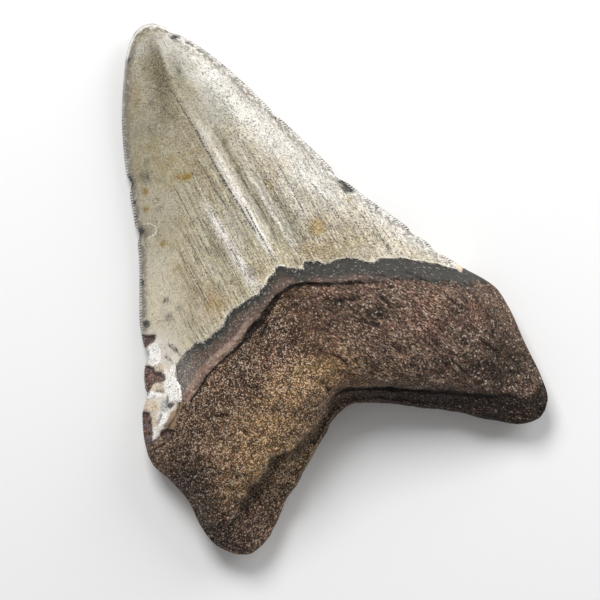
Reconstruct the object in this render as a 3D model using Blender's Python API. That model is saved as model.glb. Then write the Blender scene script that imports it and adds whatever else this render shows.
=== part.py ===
"""A fossil megalodon tooth, one solid, lying on its labial (flatter) face with the lingual face up.

Frame, in metres: +X runs across the tooth, +Y from the root to the tip of the crown, +Z out of the
lingual face. The origin lies on the table plane, under the middle of the tooth's box.

The plan view is ruled by five lines that cross the tooth from its left side to its right side: the
basal edge, the crease above it, the two edges of the bourlette (the dark band between root and
crown), and the rounded tip. Rows of points fill the bands between them. Each row is then lifted
twice, once to the lingual face and once to the labial face, and both faces share the outline.
"""

import bpy
import numpy as np

MM = 0.001

# Driving heights above the table, in mm.
ROOT_TOP = 23.0  # the swelling in the middle of the root
ROOT_END_TOP = 6.0  # what is left of it far out in the lobes
ROOT_EDGE = 6.3  # the rounded outline of the root
CROWN_EDGE = 2.2  # the cutting edges half way up the crown
TIP_EDGE = 4.2  # the cutting edge where the tip curls up
ROOT_MIDDLE = (0.0, -20.0)  # where the root is thickest
ROOT_SPREAD = (46.0, 42.0)  # how far the swelling reaches along X and Y
ROOT_ROUND = 9.5  # radius of the root's edge on the lingual side
ROOT_UNDER_ROUND = 6.0  # the same on the labial side
NECK_PEAK = (1.0, -6.0)  # top of the chevron along which root turns into crown
NECK_SLOPE, NECK_ROUND = 0.53, 2.5  # the slope of its two arms and the rounding at its top
NECK_BLEND = 9.5  # how far the change reaches to either side of it
CROWN_BULGE = 1.0  # slope of the lingual face at the cutting edges
CROWN_UNDER_BULGE = 0.23  # slope of the labial face there
WORN_FLAT = 0.1  # how much of the labial face's high spots is flat on the table

ENAMEL_STEP = 0.7  # the enamel's broken edge over the bourlette
BOURLETTE_LIP = 0.8  # the ridge along the lower edge of the bourlette
CREASE_DROP = 2.8  # from the root's face down to the basal rim
CREASE_GROOVE = 0.8
CREASE_WALL = 2.2  # width of the slope above the crease

# Plan lines, in mm, as the few points that a smooth curve passes through.
LEFT_SIDE = [
    (-35.5, -54.5), (-38.3, -50.8), (-39.4, -46.0), (-39.3, -39.5), (-41.0, -33.2),
    (-42.7, -28.6), (-42.2, -24.2), (-40.0, -18.0), (-36.8, -12.2), (-33.6, -6.4),
    (-31.3, 0.5), (-28.3, 6.5), (-24.9, 13.5), (-22.4, 20.3), (-20.0, 28.0),
    (-17.8, 34.5), (-14.8, 41.6), (-11.3, 47.9), (-7.7, 53.4), (-5.2, 56.3),
]
RIGHT_SIDE = [
    (39.5, -57.3), (41.3, -55.0), (42.1, -50.5), (42.3, -42.0), (42.7, -33.0),
    (42.2, -28.6), (40.8, -25.6), (38.0, -21.5), (36.1, -18.1), (33.5, -13.0),
    (30.8, -7.0), (27.6, -0.8), (24.6, 5.2), (21.9, 12.3), (18.9, 21.0),
    (15.9, 29.6), (13.0, 38.0), (9.6, 46.0), (6.1, 52.0), (3.0, 56.3),
]
BASAL_EDGE = [
    (-35.5, -54.5), (-32.2, -56.0), (-28.8, -55.2), (-24.5, -52.7), (-20.4, -49.0),
    (-16.4, -47.0), (-12.0, -44.0), (-7.0, -40.6), (-2.4, -37.8), (0.8, -36.8),
    (4.0, -37.3), (9.0, -40.0), (15.0, -44.0), (21.0, -48.0), (26.4, -52.5),
    (31.3, -56.3), (34.6, -58.1), (37.2, -58.3), (39.5, -57.3),
]
CREASE = [
    (-38.6, -50.0), (-34.0, -49.6), (-30.0, -47.8), (-24.9, -44.6), (-20.0, -41.7),
    (-14.9, -40.6), (-9.0, -38.8), (-4.1, -36.0), (-0.6, -34.2), (2.2, -33.9),
    (6.0, -34.9), (12.3, -38.1), (19.8, -42.7), (27.2, -47.4), (33.0, -50.6),
    (38.0, -52.6), (42.0, -51.5),
]
ROOT_LINE = [
    (-42.4, -26.2), (-38.5, -25.8), (-34.6, -24.4), (-31.8, -22.0), (-29.3, -19.2),
    (-25.5, -16.7), (-20.4, -14.8), (-14.5, -12.9), (-8.0, -10.5), (-2.2, -8.4),
    (1.4, -7.6), (5.2, -8.4), (11.1, -11.4), (17.2, -13.9), (24.2, -17.2),
    (31.9, -21.6), (37.6, -24.9), (40.8, -25.9),
]
ENAMEL_LINE = [
    (-42.2, -24.4), (-38.4, -24.2), (-34.2, -22.4), (-31.1, -19.8), (-29.2, -16.0),
    (-28.2, -12.9), (-25.6, -10.9), (-20.2, -9.9), (-15.2, -8.7), (-10.6, -6.5),
    (-5.4, -6.0), (-1.2, -4.3), (1.4, -2.7), (4.6, -5.0), (7.5, -4.9),
    (11.2, -6.8), (15.6, -8.1), (20.3, -11.1), (26.2, -13.4), (31.5, -17.3),
    (36.1, -20.9), (37.9, -21.4),
]
TIP = [(-5.2, 56.3), (-3.1, 57.8), (-0.8, 58.3), (1.3, 57.8), (3.0, 56.3)]

# Bites out of the cutting edges, in mm: side, height along Y, width, depth.
NICKS = [
    ("left", 28.6, 2.0, 0.9),
    ("left", 18.0, 2.2, 0.8),
    ("left", -6.6, 2.6, 1.1),
    ("left", -14.5, 4.2, 1.2),
    ("right", 54.0, 1.6, 0.5),
    ("right", 28.0, 1.8, 0.6),
    ("right", 9.4, 3.2, 0.9),
    ("right", -9.4, 2.4, 0.6),
    ("right", -15.2, 2.2, 0.6),
]
# Spalls and pits in the lingual face, in mm: X, Y, radius along X, radius along Y, depth.
PITS = [
    (-36.3, -14.6, 3.0, 3.6, 1.3),
    (-33.4, -7.6, 2.4, 1.6, 1.0),
    (-38.2, -25.4, 1.9, 1.4, 1.1),
    (-33.4, -19.6, 1.8, 1.5, 0.7),
    (-17.7, -29.6, 1.3, 1.0, 0.7),
]
# Low swellings of the lingual face of the root, in mm: X, Y, radius along X, radius along Y, height.
SWELLINGS = [
    (-27.0, -37.0, 11.0, 9.0, 1.0),
    (-10.0, -27.0, 9.0, 8.0, 0.8),
    (13.0, -26.0, 10.0, 7.0, 0.7),
    (30.0, -36.0, 9.0, 10.0, 1.1),
    (34.0, -27.5, 6.0, 4.0, 0.5),
]
# Hollows that lift parts of the labial face clear of the table: X, Y, radii along X and Y, depth.
LABIAL_HOLLOWS = [(0.0, -12.0, 60.0, 11.0, 0.9), (1.0, -30.0, 13.0, 9.0, 0.7)]
# Long low ridges and furrows down the lingual face of the crown, in mm: X, half width, height.
FLUTES = [(-6.1, 1.9, 0.35), (0.5, 1.3, 0.45), (3.2, 0.9, -0.25), (-12.5, 2.4, 0.15), (11.0, 2.6, 0.16)]
FLUTES_FROM, FLUTES_TO = 44.0, 24.0  # they fade in between these heights

# How many rows fill each band, from the basal edge up, and how many columns cross the tooth.
RIM_ROWS, ROOT_ROWS, BOURLETTE_ROWS, CROWN_ROWS = 4, 11, 3, 23
COLUMNS = 46
EDGE_CROWDING = 0.45  # how strongly the columns crowd towards the two sides

TOP_LEVEL = 4  # the tip's line, counted in bands from the basal edge
ENAMEL, BOURLETTE, ROOT = range(3)
FINISHES = {  # name, colour, roughness
    ENAMEL: ("grey enamel", (0.42, 0.39, 0.30), 0.35),
    BOURLETTE: ("charcoal bourlette", (0.05, 0.045, 0.045), 0.55),
    ROOT: ("brown root", (0.11, 0.075, 0.05), 0.85),
}


def smooth_curve(points, per_span=16):
    """A centripetal Catmull-Rom curve through the points, as a dense polyline."""
    p = np.array(points, float)
    p = np.vstack([2 * p[0] - p[1], p, 2 * p[-1] - p[-2]])
    knots = np.concatenate([[0], np.cumsum(np.linalg.norm(np.diff(p, axis=0), axis=1) ** 0.5)])
    pieces = []
    for i in range(1, len(p) - 2):
        a, b, c, d = knots[i - 1 : i + 3]
        t = np.linspace(b, c, per_span, endpoint=False)[:, None]
        first = (p[i - 1] * (b - t) + p[i] * (t - a)) / (b - a)
        second = (p[i] * (c - t) + p[i + 1] * (t - b)) / (c - b)
        third = (p[i + 1] * (d - t) + p[i + 2] * (t - c)) / (d - c)
        early = (first * (c - t) + second * (t - a)) / (c - a)
        late = (second * (d - t) + third * (t - b)) / (d - b)
        pieces.append((early * (c - t) + late * (t - b)) / (c - b))
    return np.vstack([*pieces, p[-2:-1]])


def lengths(curve):
    return np.concatenate([[0], np.cumsum(np.linalg.norm(np.diff(curve, axis=0), axis=1))])


def at_shares(curve, shares):
    """Points of the curve at these shares of its length."""
    run = lengths(curve)
    return np.stack([np.interp(shares * run[-1], run, curve[:, k]) for k in (0, 1)], axis=-1)


def across(line, columns):
    """The line's points at the columns, with its highest point on the middle column."""
    run = lengths(line)
    top = run[np.argmax(line[:, 1])] / run[-1]
    return at_shares(line, np.interp(columns, [0, 0.5, 1], [0, top, 1]))


def share_of_nearest(curve, point):
    """How far along the curve, as a share of its length, its point nearest to this one lies."""
    run = lengths(curve)
    return run[np.argmin(np.linalg.norm(curve - point, axis=1))] / run[-1]


def dome(x, y, centre_x, centre_y, radius_x, radius_y, height):
    return height * np.exp(-(((x - centre_x) / radius_x) ** 2) - ((y - centre_y) / radius_y) ** 2)


def distance_to(curve, points):
    """Each point's distance to the polyline."""
    start, step = curve[:-1], np.diff(curve, axis=0)
    square = (step**2).sum(axis=1)
    nearest = np.full(len(points), np.inf)
    for a, d, s in zip(start, step, square):
        t = np.clip((points - a) @ d / s, 0, 1)
        nearest = np.minimum(nearest, np.linalg.norm(points - a - t[:, None] * d, axis=1))
    return nearest


def ramp(x, low, high):
    """0 below low, 1 above high, with a smooth change between them."""
    t = np.clip((x - low) / (high - low), 0, 1)
    return t * t * (3 - 2 * t)


def bump(x, half_width):
    return np.exp(-((x / half_width) ** 2))


def quarter_round(x):
    """The height of a unit quarter circle: 0 at x = 0, 1 from x = 1 on."""
    return np.sqrt(1 - (1 - np.clip(x, 0, 1)) ** 2)


def nibbled(side, curve, inwards):
    """The side's curve with its nicks bitten out of it."""
    depth = sum(d * bump(curve[:, 1] - y, w / 2) for name, y, w, d in NICKS if name == side)
    return curve + np.stack([inwards * depth, np.zeros(len(curve))], axis=-1)


def band(low, high, left, right, shares, columns):
    """Rows between two lines that also follow the stretch of outline at either end (a Coons patch)."""
    u, t = columns[None, :, None], shares[:, None, None]
    rows = (1 - t) * low[None] + t * high[None]
    for side, end, weight in ((left, 0, (1 - u) ** 2), (right, -1, u**2)):
        chord = (1 - shares)[:, None] * low[end] + shares[:, None] * high[end]
        rows = rows + weight * (at_shares(side, shares) - chord)[:, None, :]
    return rows


def plan_rows():
    """The plan view as rows of points, bottom to top, and each row's height in bands (0 to 4)."""
    even = np.linspace(0, 1, COLUMNS + 1)
    crowded = 0.5 - 0.5 * np.cos(np.pi * even)
    columns = (1 - EDGE_CROWDING) * even + EDGE_CROWDING * crowded
    sides = [smooth_curve(LEFT_SIDE), smooth_curve(RIGHT_SIDE)]
    lines = [smooth_curve(p) for p in (BASAL_EDGE, CREASE, ROOT_LINE, ENAMEL_LINE, TIP)]
    stops = [[share_of_nearest(side, line[end]) for line in lines] for side, end in zip(sides, (0, -1))]
    bitten = [nibbled("left", sides[0], 1), nibbled("right", sides[1], -1)]
    spans = [
        1 - np.cos(np.pi / 2 * np.linspace(0, 1, RIM_ROWS + 1)),
        np.linspace(0, 1, ROOT_ROWS + 1) ** 1.15,
        np.linspace(0, 1, BOURLETTE_ROWS + 1),
        np.concatenate([[0], 0.012 + 0.988 * np.linspace(0, 1, CROWN_ROWS) ** 0.96]),
    ]
    rows, heights = [], []
    for k, shares in enumerate(spans):
        stretch = [
            at_shares(side, np.linspace(stop[k], stop[k + 1], 60)) for side, stop in zip(bitten, stops)
        ]
        low, high = across(lines[k], columns), across(lines[k + 1], columns)
        low[[0, -1]] = stretch[0][0], stretch[1][0]
        high[[0, -1]] = stretch[0][-1], stretch[1][-1]
        first = 0 if k == 0 else 1
        rows.append(band(low, high, *stretch, shares, columns)[first:])
        heights.append(k + shares[first:])
    return np.concatenate(rows), np.concatenate(heights), columns


def faces_of_tooth(rows, heights, columns):
    """The lingual and labial heights of every point, in mm."""
    points = rows.reshape(-1, 2)
    x, y = points.T
    level = np.repeat(heights, len(columns))
    along = np.tile(columns, len(heights))
    outlines = (LEFT_SIDE + TIP[1:3], RIGHT_SIDE + TIP[-2:1:-1], BASAL_EDGE)
    left, right, base = (distance_to(smooth_curve(line, 6), points) for line in outlines)
    on_outline = (along == 0) | (along == 1) | (level == 0) | (level == TOP_LEVEL)
    tiny = 1e-6
    lens = left * right / (left + right + tiny)
    inside = (((left + tiny) ** -2) + ((right + tiny) ** -2) + ((base + tiny) ** -2)) ** -0.5
    lens[on_outline] = 0
    inside[on_outline] = 0

    # The edge of the tooth, as a height: low along the crown, rising to the root and to the tip.
    crown_edge = CROWN_EDGE + (TIP_EDGE - CROWN_EDGE) * ramp(y, 30, 60)
    edge = ROOT_EDGE + (crown_edge - ROOT_EDGE) * ramp(y, -34, 4)

    swell = bump(x - ROOT_MIDDLE[0], ROOT_SPREAD[0]) * bump(y - ROOT_MIDDLE[1], ROOT_SPREAD[1])
    root_top = ROOT_END_TOP + (ROOT_TOP - ROOT_END_TOP) * swell
    root = (root_top - edge) * quarter_round(inside / ROOT_ROUND)
    crown = CROWN_BULGE * lens
    slanting = np.hypot(NECK_SLOPE * (x - NECK_PEAK[0]), NECK_ROUND) - NECK_ROUND
    above_neck = y - NECK_PEAK[1] + slanting
    lift = root + (crown - root) * ramp(above_neck, -NECK_BLEND, NECK_BLEND)

    # Relief on the lingual face.
    from_crease = distance_to(smooth_curve(CREASE, 6), points) * np.where(level < 1, -1, 1)
    crease_here = ramp(along, 0.02, 0.2) * (1 - 0.6 * ramp(along, 0.6, 0.85)) * (1 - ramp(along, 0.85, 0.99))
    crease_here *= ramp(inside, 0.0, 1.6)
    lift -= crease_here * CREASE_DROP * (1 - ramp(from_crease, -0.4, CREASE_WALL))
    lift -= crease_here * CREASE_GROOVE * bump(from_crease, 0.8)
    from_edges = ramp(np.minimum(left, right), 0.0, 2.0)
    lift += ENAMEL_STEP * from_edges * (level > 3)
    lift += BOURLETTE_LIP * from_edges * bump(level - 2, 0.22) * ramp(along, 0.22, 0.3)
    fading = ramp(y, FLUTES_FROM, FLUTES_TO) * ramp(level, 2.2, 3.1)
    for centre, half_width, height in FLUTES:
        lift += height * fading * bump(x - centre, half_width)
    lift += ramp(inside, 0, 4) * sum(dome(x, y, *swelling) for swelling in SWELLINGS)
    lift -= ramp(inside, 0, 1.2) * sum(dome(x, y, *pit) for pit in PITS)

    drop = edge * quarter_round(inside / ROOT_UNDER_ROUND)
    drop += (CROWN_UNDER_BULGE * lens - drop) * ramp(y, -24, -4)
    drop -= quarter_round(inside / ROOT_ROUND) * sum(dome(x, y, *hollow) for hollow in LABIAL_HOLLOWS)
    labial = np.maximum(edge - drop - WORN_FLAT, 0)
    lingual = np.maximum(edge + lift, labial + 0.4 * ramp(inside, 0, 0.5))
    return points, lingual, labial


def finish_of(level):
    return np.where(level > 3, ENAMEL, np.where(level > 2, BOURLETTE, ROOT))


def material(name, colour, roughness):
    made = bpy.data.materials.new(name)
    made.use_nodes = True
    shader = made.node_tree.nodes["Principled BSDF"]
    shader.inputs["Base Color"].default_value = (*colour, 1)
    shader.inputs["Roughness"].default_value = roughness
    shader.inputs["Metallic"].default_value = 0
    return made


def build_tooth():
    rows, heights, columns = plan_rows()
    points, lingual, labial = faces_of_tooth(rows, heights, columns)
    n_rows, n_columns = len(heights), len(columns)
    front = np.arange(n_rows * n_columns).reshape(n_rows, n_columns)
    back = front.copy()
    inner = (slice(1, -1), slice(1, -1))
    back[inner] = front.size + np.arange(front[inner].size).reshape(front[inner].shape)
    # The outline is shared, so its points take the height of the tooth's edge from either face.
    vertices = np.concatenate(
        [
            np.column_stack([points, lingual]),
            np.column_stack([points, labial])[front[inner].ravel()],
        ]
    )

    def quads(grid, outwards):
        corners = [grid[:-1, :-1], grid[:-1, 1:], grid[1:, 1:], grid[1:, :-1]]
        return np.stack(corners[:: 1 if outwards else -1], axis=-1).reshape(-1, 4)

    mesh = bpy.data.meshes.new("tooth")
    faces = np.concatenate([quads(front, True), quads(back, False)])
    mesh.from_pydata((vertices * MM).tolist(), [], faces.tolist())
    middles = np.repeat((heights[:-1] + heights[1:]) / 2, n_columns - 1)
    for finish in FINISHES.values():
        mesh.materials.append(material(*finish))
    mesh.polygons.foreach_set("material_index", np.tile(finish_of(middles), 2).astype(np.int32))
    mesh.shade_smooth()
    mesh.set_sharp_from_angle(angle=np.radians(40))
    mesh.update()
    tooth = bpy.data.objects.new("tooth", mesh)
    bpy.context.scene.collection.objects.link(tooth)
    return tooth


for old in list(bpy.data.objects):
    bpy.data.objects.remove(old)
build_tooth()
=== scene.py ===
"""A fossil megalodon tooth on a pale studio floor, lying with its inner (lingual) face up.

The file is laid out as a Blender add-on and is run as a script. The tooth is one closed surface,
worked out with numpy on a lattice of rows and columns and finished by a procedural material. The
tooth's own frame has +X across it, +Y from the root to the tip of the crown and +Z out of the
lingual face. Shapes are worked out in millimetres and put into the mesh in metres.
"""

import bpy
import numpy as np
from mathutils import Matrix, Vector


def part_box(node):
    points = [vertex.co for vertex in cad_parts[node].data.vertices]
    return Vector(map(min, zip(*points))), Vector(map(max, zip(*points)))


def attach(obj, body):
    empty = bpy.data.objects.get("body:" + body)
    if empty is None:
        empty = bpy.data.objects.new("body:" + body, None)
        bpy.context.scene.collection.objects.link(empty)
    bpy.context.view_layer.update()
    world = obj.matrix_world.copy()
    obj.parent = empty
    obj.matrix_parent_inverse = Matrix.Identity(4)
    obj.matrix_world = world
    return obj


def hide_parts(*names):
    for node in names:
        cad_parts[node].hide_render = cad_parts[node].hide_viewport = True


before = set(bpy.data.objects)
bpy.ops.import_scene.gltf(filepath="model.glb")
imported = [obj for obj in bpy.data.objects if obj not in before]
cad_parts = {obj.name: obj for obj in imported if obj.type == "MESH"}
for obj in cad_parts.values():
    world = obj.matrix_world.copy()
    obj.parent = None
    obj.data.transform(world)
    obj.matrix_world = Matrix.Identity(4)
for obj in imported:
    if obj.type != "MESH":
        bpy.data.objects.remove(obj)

bl_info = {
    "name": "Fossil Tooth",
    "version": (1, 0, 0),
    "blender": (4, 5, 0),
    "location": "View3D > Sidebar > Fossil",
    "description": "Builds a fossil megalodon tooth and the studio that it lies in",
    "category": "Object",
}

MM = 0.001
CAD_LOW, CAD_HIGH = (np.array(corner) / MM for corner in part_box("tooth"))
FAR_OFF = 30.0  # in mm, what a distance mark holds away from its line
OUTSIDE = 4.0  # in mm, as far as depth_inside looks round an outline
TO_THE_RIGHT = (-4.0, 8.0)  # in X, where the root's round grains give way to streaks
STREAK_TURN = np.radians(-28)  # brings the root's streaks into line with Y


# ---------------------------------------------------------------- the tooth's plan, in mm

LEFT_SIDE = [
    (-35.5, -54.5), (-38.3, -50.8), (-39.4, -46.0), (-39.3, -39.5), (-41.0, -33.2),
    (-42.7, -28.6), (-42.2, -24.2), (-40.0, -18.0), (-36.8, -12.2), (-33.6, -6.4),
    (-31.3, 0.5), (-28.3, 6.5), (-24.9, 13.5), (-22.4, 20.3), (-20.0, 28.0),
    (-17.8, 34.5), (-14.8, 41.6), (-11.3, 47.9), (-7.7, 53.4), (-5.2, 56.3),
]
RIGHT_SIDE = [
    (39.5, -57.3), (41.3, -55.0), (42.1, -50.5), (42.3, -42.0), (42.7, -33.0),
    (42.2, -28.6), (40.8, -25.6), (38.0, -21.5), (36.1, -18.1), (33.5, -13.0),
    (30.8, -7.0), (27.6, -0.8), (24.6, 5.2), (21.9, 12.3), (18.9, 21.0),
    (15.9, 29.6), (13.0, 38.0), (9.6, 46.0), (6.1, 52.0), (3.0, 56.3),
]
BASAL_EDGE = [
    (-35.5, -54.5), (-32.2, -56.0), (-28.8, -55.2), (-24.5, -52.7), (-20.4, -49.0),
    (-16.4, -47.0), (-12.0, -44.0), (-7.0, -40.6), (-2.4, -37.8), (0.8, -36.8),
    (4.0, -37.3), (9.0, -40.0), (15.0, -44.0), (21.0, -48.0), (26.4, -52.5),
    (31.3, -56.3), (34.6, -58.1), (37.2, -58.3), (39.5, -57.3),
]
CREASE = [
    (-38.8, -49.6), (-35.7, -48.5), (-32.8, -47.7), (-30.4, -46.8), (-29.2, -45.4), (-28.1, -44.7),
    (-26.7, -44.4), (-26.0, -43.1), (-24.7, -43.0), (-23.5, -42.9), (-22.3, -42.0), (-20.7, -41.3),
    (-19.6, -40.1), (-18.4, -39.3), (-16.9, -39.3), (-15.9, -39.6), (-15.0, -39.8), (-13.3, -39.9),
    (-11.9, -39.1), (-10.2, -38.5), (-8.3, -38.3), (-6.4, -37.5), (-4.9, -36.5), (-3.1, -35.5),
    (-1.9, -34.4), (-0.7, -33.5), (1.1, -33.3), (3.0, -33.5), (6.0, -34.9), (12.3, -38.1), (19.8, -42.7),
    (27.2, -47.4), (33.0, -50.6), (38.0, -52.6), (42.0, -51.5),
]
ROOT_LINE = [
    (-42.4, -26.2), (-38.5, -25.8), (-34.6, -24.4), (-31.8, -22.0), (-29.3, -19.2),
    (-25.5, -16.7), (-20.4, -14.8), (-14.5, -12.9), (-8.0, -10.5), (-2.2, -8.4),
    (1.4, -7.6), (5.2, -8.4), (11.1, -11.4), (17.2, -13.9), (24.2, -17.2),
    (31.9, -21.6), (37.6, -24.9), (40.8, -25.9),
]
ENAMEL_LINE = [
    (-42.2, -24.4), (-38.4, -24.2), (-34.2, -22.4), (-31.1, -19.8), (-29.5, -15.1), (-28.9, -13.1),
    (-28.6, -11.8), (-27.4, -11.5), (-26.5, -10.9), (-24.5, -10.3), (-22.6, -9.7), (-21.6, -9.5),
    (-20.5, -9.9), (-19.5, -10.0), (-17.6, -9.5), (-16.6, -9.1), (-15.6, -9.1), (-14.7, -8.5),
    (-13.1, -7.3), (-11.2, -6.6), (-10.1, -6.7), (-8.2, -6.3), (-6.2, -6.2), (-5.2, -6.1),
    (-4.3, -5.6), (-2.4, -4.9), (-1.6, -4.2), (-0.8, -3.8), (0.3, -3.5), (1.0, -2.8),
    (1.9, -2.8), (2.8, -3.4), (3.5, -4.1), (4.4, -4.5), (5.1, -5.2), (6.2, -5.7),
    (7.0, -4.5), (8.2, -4.9), (9.0, -5.5), (10.0, -5.7), (10.6, -6.8), (12.6, -7.1),
    (14.6, -7.4), (16.4, -8.3), (17.4, -8.8), (18.8, -10.2), (20.5, -11.3), (22.6, -11.4),
    (24.3, -12.4), (27.1, -13.6), (28.7, -15.0), (31.1, -16.7), (34.3, -19.2), (36.1, -20.9),
    (37.9, -21.4),
]
TIP = [(-5.2, 56.3), (-3.1, 57.8), (-0.8, 58.3), (1.3, 57.8), (3.0, 56.3)]
# Where the enamel ends on the labial face.
LABIAL_ENAMEL_LINE = [
    (-46.0, -27.0), (-36.0, -24.0), (-22.0, -21.5), (-8.0, -19.0), (0.0, -18.2),
    (9.0, -19.2), (22.0, -21.0), (34.0, -22.0), (44.0, -24.0),
]

# Bites out of the cutting edges: side, height along Y, width, depth.
NICKS = [
    ("left", 28.6, 2.0, 0.9),
    ("left", 18.0, 2.2, 0.8),
    ("left", -6.6, 2.6, 1.1),
    ("left", -14.5, 4.2, 1.2),
    ("right", 54.0, 1.6, 0.5),
    ("right", 28.0, 1.8, 0.6),
    ("right", 9.4, 3.2, 0.9),
    ("right", -9.4, 2.4, 0.6),
    ("right", -15.2, 2.2, 0.6),
]
# Pits and hollows in the lingual face: X, Y, radius along X, radius along Y, depth.
PITS = [
    (-17.7, -30.3, 0.9, 0.7, 0.7),
    (-3.2, -11.8, 3.6, 1.6, 0.8),
    (3.5, -9.9, 4.2, 1.1, 0.6),
    (-21.5, -17.6, 5.0, 1.0, 0.5),
    (19.5, -19.5, 3.0, 0.8, 0.5),
    (-27.5, -31.0, 2.0, 1.2, 0.4),
    (14.5, -29.5, 1.6, 2.6, 0.35),
    (-24.0, -47.5, 2.6, 1.3, 0.7),
    (-16.8, -43.6, 2.4, 1.2, 0.6),
]
# Chips with steep sides: X, Y, radius along X, radius along Y, height (negative: a recess).
PLATES = [
    (23.2, 6.5, 1.2, 2.0, -0.9), (-18.9, 29.2, 1.0, 1.0, -0.4),
    (4.2, 53.4, 1.4, 1.4, -0.3), (10.8, 42.6, 0.9, 0.9, -0.35), (13.0, 37.6, 0.8, 1.0, -0.3),
    (17.2, 25.3, 0.8, 0.9, -0.35), (20.2, 17.4, 0.7, 0.9, -0.35), (30.8, -7.4, 1.1, 1.4, -0.4),
    (33.0, -12.6, 0.9, 1.2, -0.35), (26.6, 0.6, 0.8, 1.1, -0.3), (8.2, 47.6, 0.7, 0.7, -0.25),
]
# The outline of the broken left corner of the crown, and its patches: finish, height (negative: a
# recess) and outline. A later patch lies over an earlier one.
CORNER = [
    (-34.4, -4.2), (-31.4, -3.8), (-29.3, -3.9), (-28.1, -5.9), (-27.5, -8.2), (-27.2, -10.4),
    (-28.1, -11.8), (-29.0, -14.9), (-30.0, -18.8), (-31.2, -20.2), (-34.1, -23.1), (-37.1, -23.6),
    (-40.5, -26.8), (-44.4, -24.8),
]
PATCHES = [
    ("chalk", 0.10, [
        (-33.2, -5.3), (-31.8, -5.0), (-29.8, -4.4), (-29.4, -5.5), (-29.8, -7.3), (-30.7, -8.6),
        (-30.8, -10.3), (-30.5, -12.1), (-31.4, -12.4), (-32.0, -11.1), (-32.8, -10.2), (-33.1, -9.3),
        (-33.7, -8.8), (-33.7, -6.8),
    ]),
    ("chalk", 0.35, [
        (-32.2, -13.0), (-30.7, -12.5), (-29.6, -11.3), (-28.4, -11.7), (-28.7, -13.0), (-29.4, -14.4),
        (-29.0, -15.4), (-29.6, -17.1), (-30.1, -18.8), (-30.9, -19.2), (-31.7, -18.4), (-33.0, -18.0),
        (-33.8, -17.1), (-33.6, -15.2),
    ]),
    ("chalk", 0.15, [
        (-35.9, -18.8), (-34.4, -20.0), (-35.1, -21.4), (-36.2, -21.8), (-37.4, -21.7), (-37.4, -20.2),
    ]),
    ("chalk", 0.40, [
        (-37.5, -14.7), (-36.3, -14.2), (-34.9, -14.5), (-33.8, -15.1), (-33.6, -16.0), (-34.6, -16.2),
        (-36.2, -15.6), (-37.6, -15.4),
    ]),
    ("chalk", 0.0, [(-38.9, -21.4), (-38.2, -21.8), (-38.7, -23.8), (-39.9, -24.2), (-40.2, -23.5)]),
    ("cream", 0.0, [(-32.9, -9.5), (-31.1, -9.4), (-30.5, -11.1), (-31.6, -11.8), (-32.9, -10.9)]),
    ("cream", 0.1, [
        (-35.5, -13.3), (-34.5, -13.1), (-32.9, -13.0), (-32.0, -13.6), (-33.3, -15.2), (-35.5, -14.2),
    ]),
    ("cream", 0.2, [
        (-38.8, -15.6), (-37.4, -15.5), (-35.4, -16.8), (-35.7, -18.4), (-37.2, -18.9), (-38.4, -18.0),
        (-39.5, -17.2),
    ]),
    ("cream", 0.0, [(-38.2, -18.6), (-37.0, -19.0), (-37.4, -20.7), (-38.8, -21.5), (-38.8, -20.2)]),
    ("cream", 0.0, [(36.0, -20.6), (36.9, -19.4), (37.9, -20.8), (36.9, -21.9)]),
    ("tan", -0.3, [
        (-30.6, -19.3), (-30.9, -20.1), (-32.1, -21.0), (-33.3, -22.5), (-34.9, -23.7), (-36.1, -23.1),
        (-36.6, -22.1), (-35.1, -21.6), (-33.9, -20.3), (-32.3, -20.1), (-31.4, -19.1),
    ]),
    ("slate", -0.2, [
        (-34.5, -16.8), (-33.5, -17.5), (-33.6, -18.4), (-34.1, -19.7), (-35.2, -19.4), (-35.8, -18.6),
        (-35.0, -17.7),
    ]),
    ("bare", -1.3, [
        (-32.6, -1.7), (-30.6, -3.1), (-29.2, -3.7), (-29.7, -4.4), (-31.1, -4.6), (-32.3, -5.0),
        (-33.1, -5.4), (-34.8, -4.8),
    ]),
    ("bare", -1.5, [
        (-35.6, -8.0), (-33.8, -9.0), (-33.0, -9.9), (-33.2, -10.9), (-31.8, -11.7), (-31.5, -12.9),
        (-32.1, -13.4), (-33.6, -12.8), (-34.8, -12.9), (-35.7, -13.7), (-36.6, -14.4), (-38.0, -15.2),
        (-39.2, -14.8),
    ]),
    ("bare", -1.0, [
        (-40.6, -16.8), (-39.2, -17.6), (-38.3, -18.3), (-38.5, -19.6), (-39.2, -21.5), (-40.1, -23.5),
        (-41.2, -24.9), (-42.4, -25.8), (-44.4, -24.8),
    ]),
    ("bare", -0.9, [
        (-37.7, -22.8), (-36.5, -23.0), (-36.0, -23.8), (-35.6, -24.6), (-36.4, -25.2), (-37.6, -24.7),
        (-38.1, -23.8),
    ]),
    # A small hole: a recess in the mesh, painted dark as painted shade.
    ("dark", -1.0, [
        (-33.8, -18.6), (-33.2, -18.3), (-32.1, -18.7), (-32.0, -19.2), (-33.1, -19.3), (-33.7, -19.4),
    ]),
    ("flake", -0.14, [
        (-22.7, 19.2), (-21.7, 19.4), (-20.7, 19.3), (-19.2, 18.8), (-18.4, 17.7), (-18.4, 16.8),
        (-19.2, 16.1), (-20.6, 16.1), (-22.0, 16.7), (-22.8, 17.5), (-23.3, 18.5),
    ]),
]
# Low swellings of the root's lingual face: X, Y, radius along X, radius along Y, height.
SWELLINGS = [
    (-27.0, -37.0, 11.0, 9.0, 1.0),
    (-10.0, -27.0, 9.0, 8.0, 0.8),
    (13.0, -26.0, 10.0, 7.0, 0.7),
    (30.0, -36.0, 9.0, 10.0, 1.1),
    (34.0, -27.5, 6.0, 4.0, 0.5),
]
# Hollows that lift parts of the labial face clear of the floor: X, Y, radii along X and Y, depth.
LABIAL_HOLLOWS = [(0.0, -12.0, 60.0, 11.0, 0.9), (1.0, -30.0, 13.0, 9.0, 0.7)]
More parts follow.
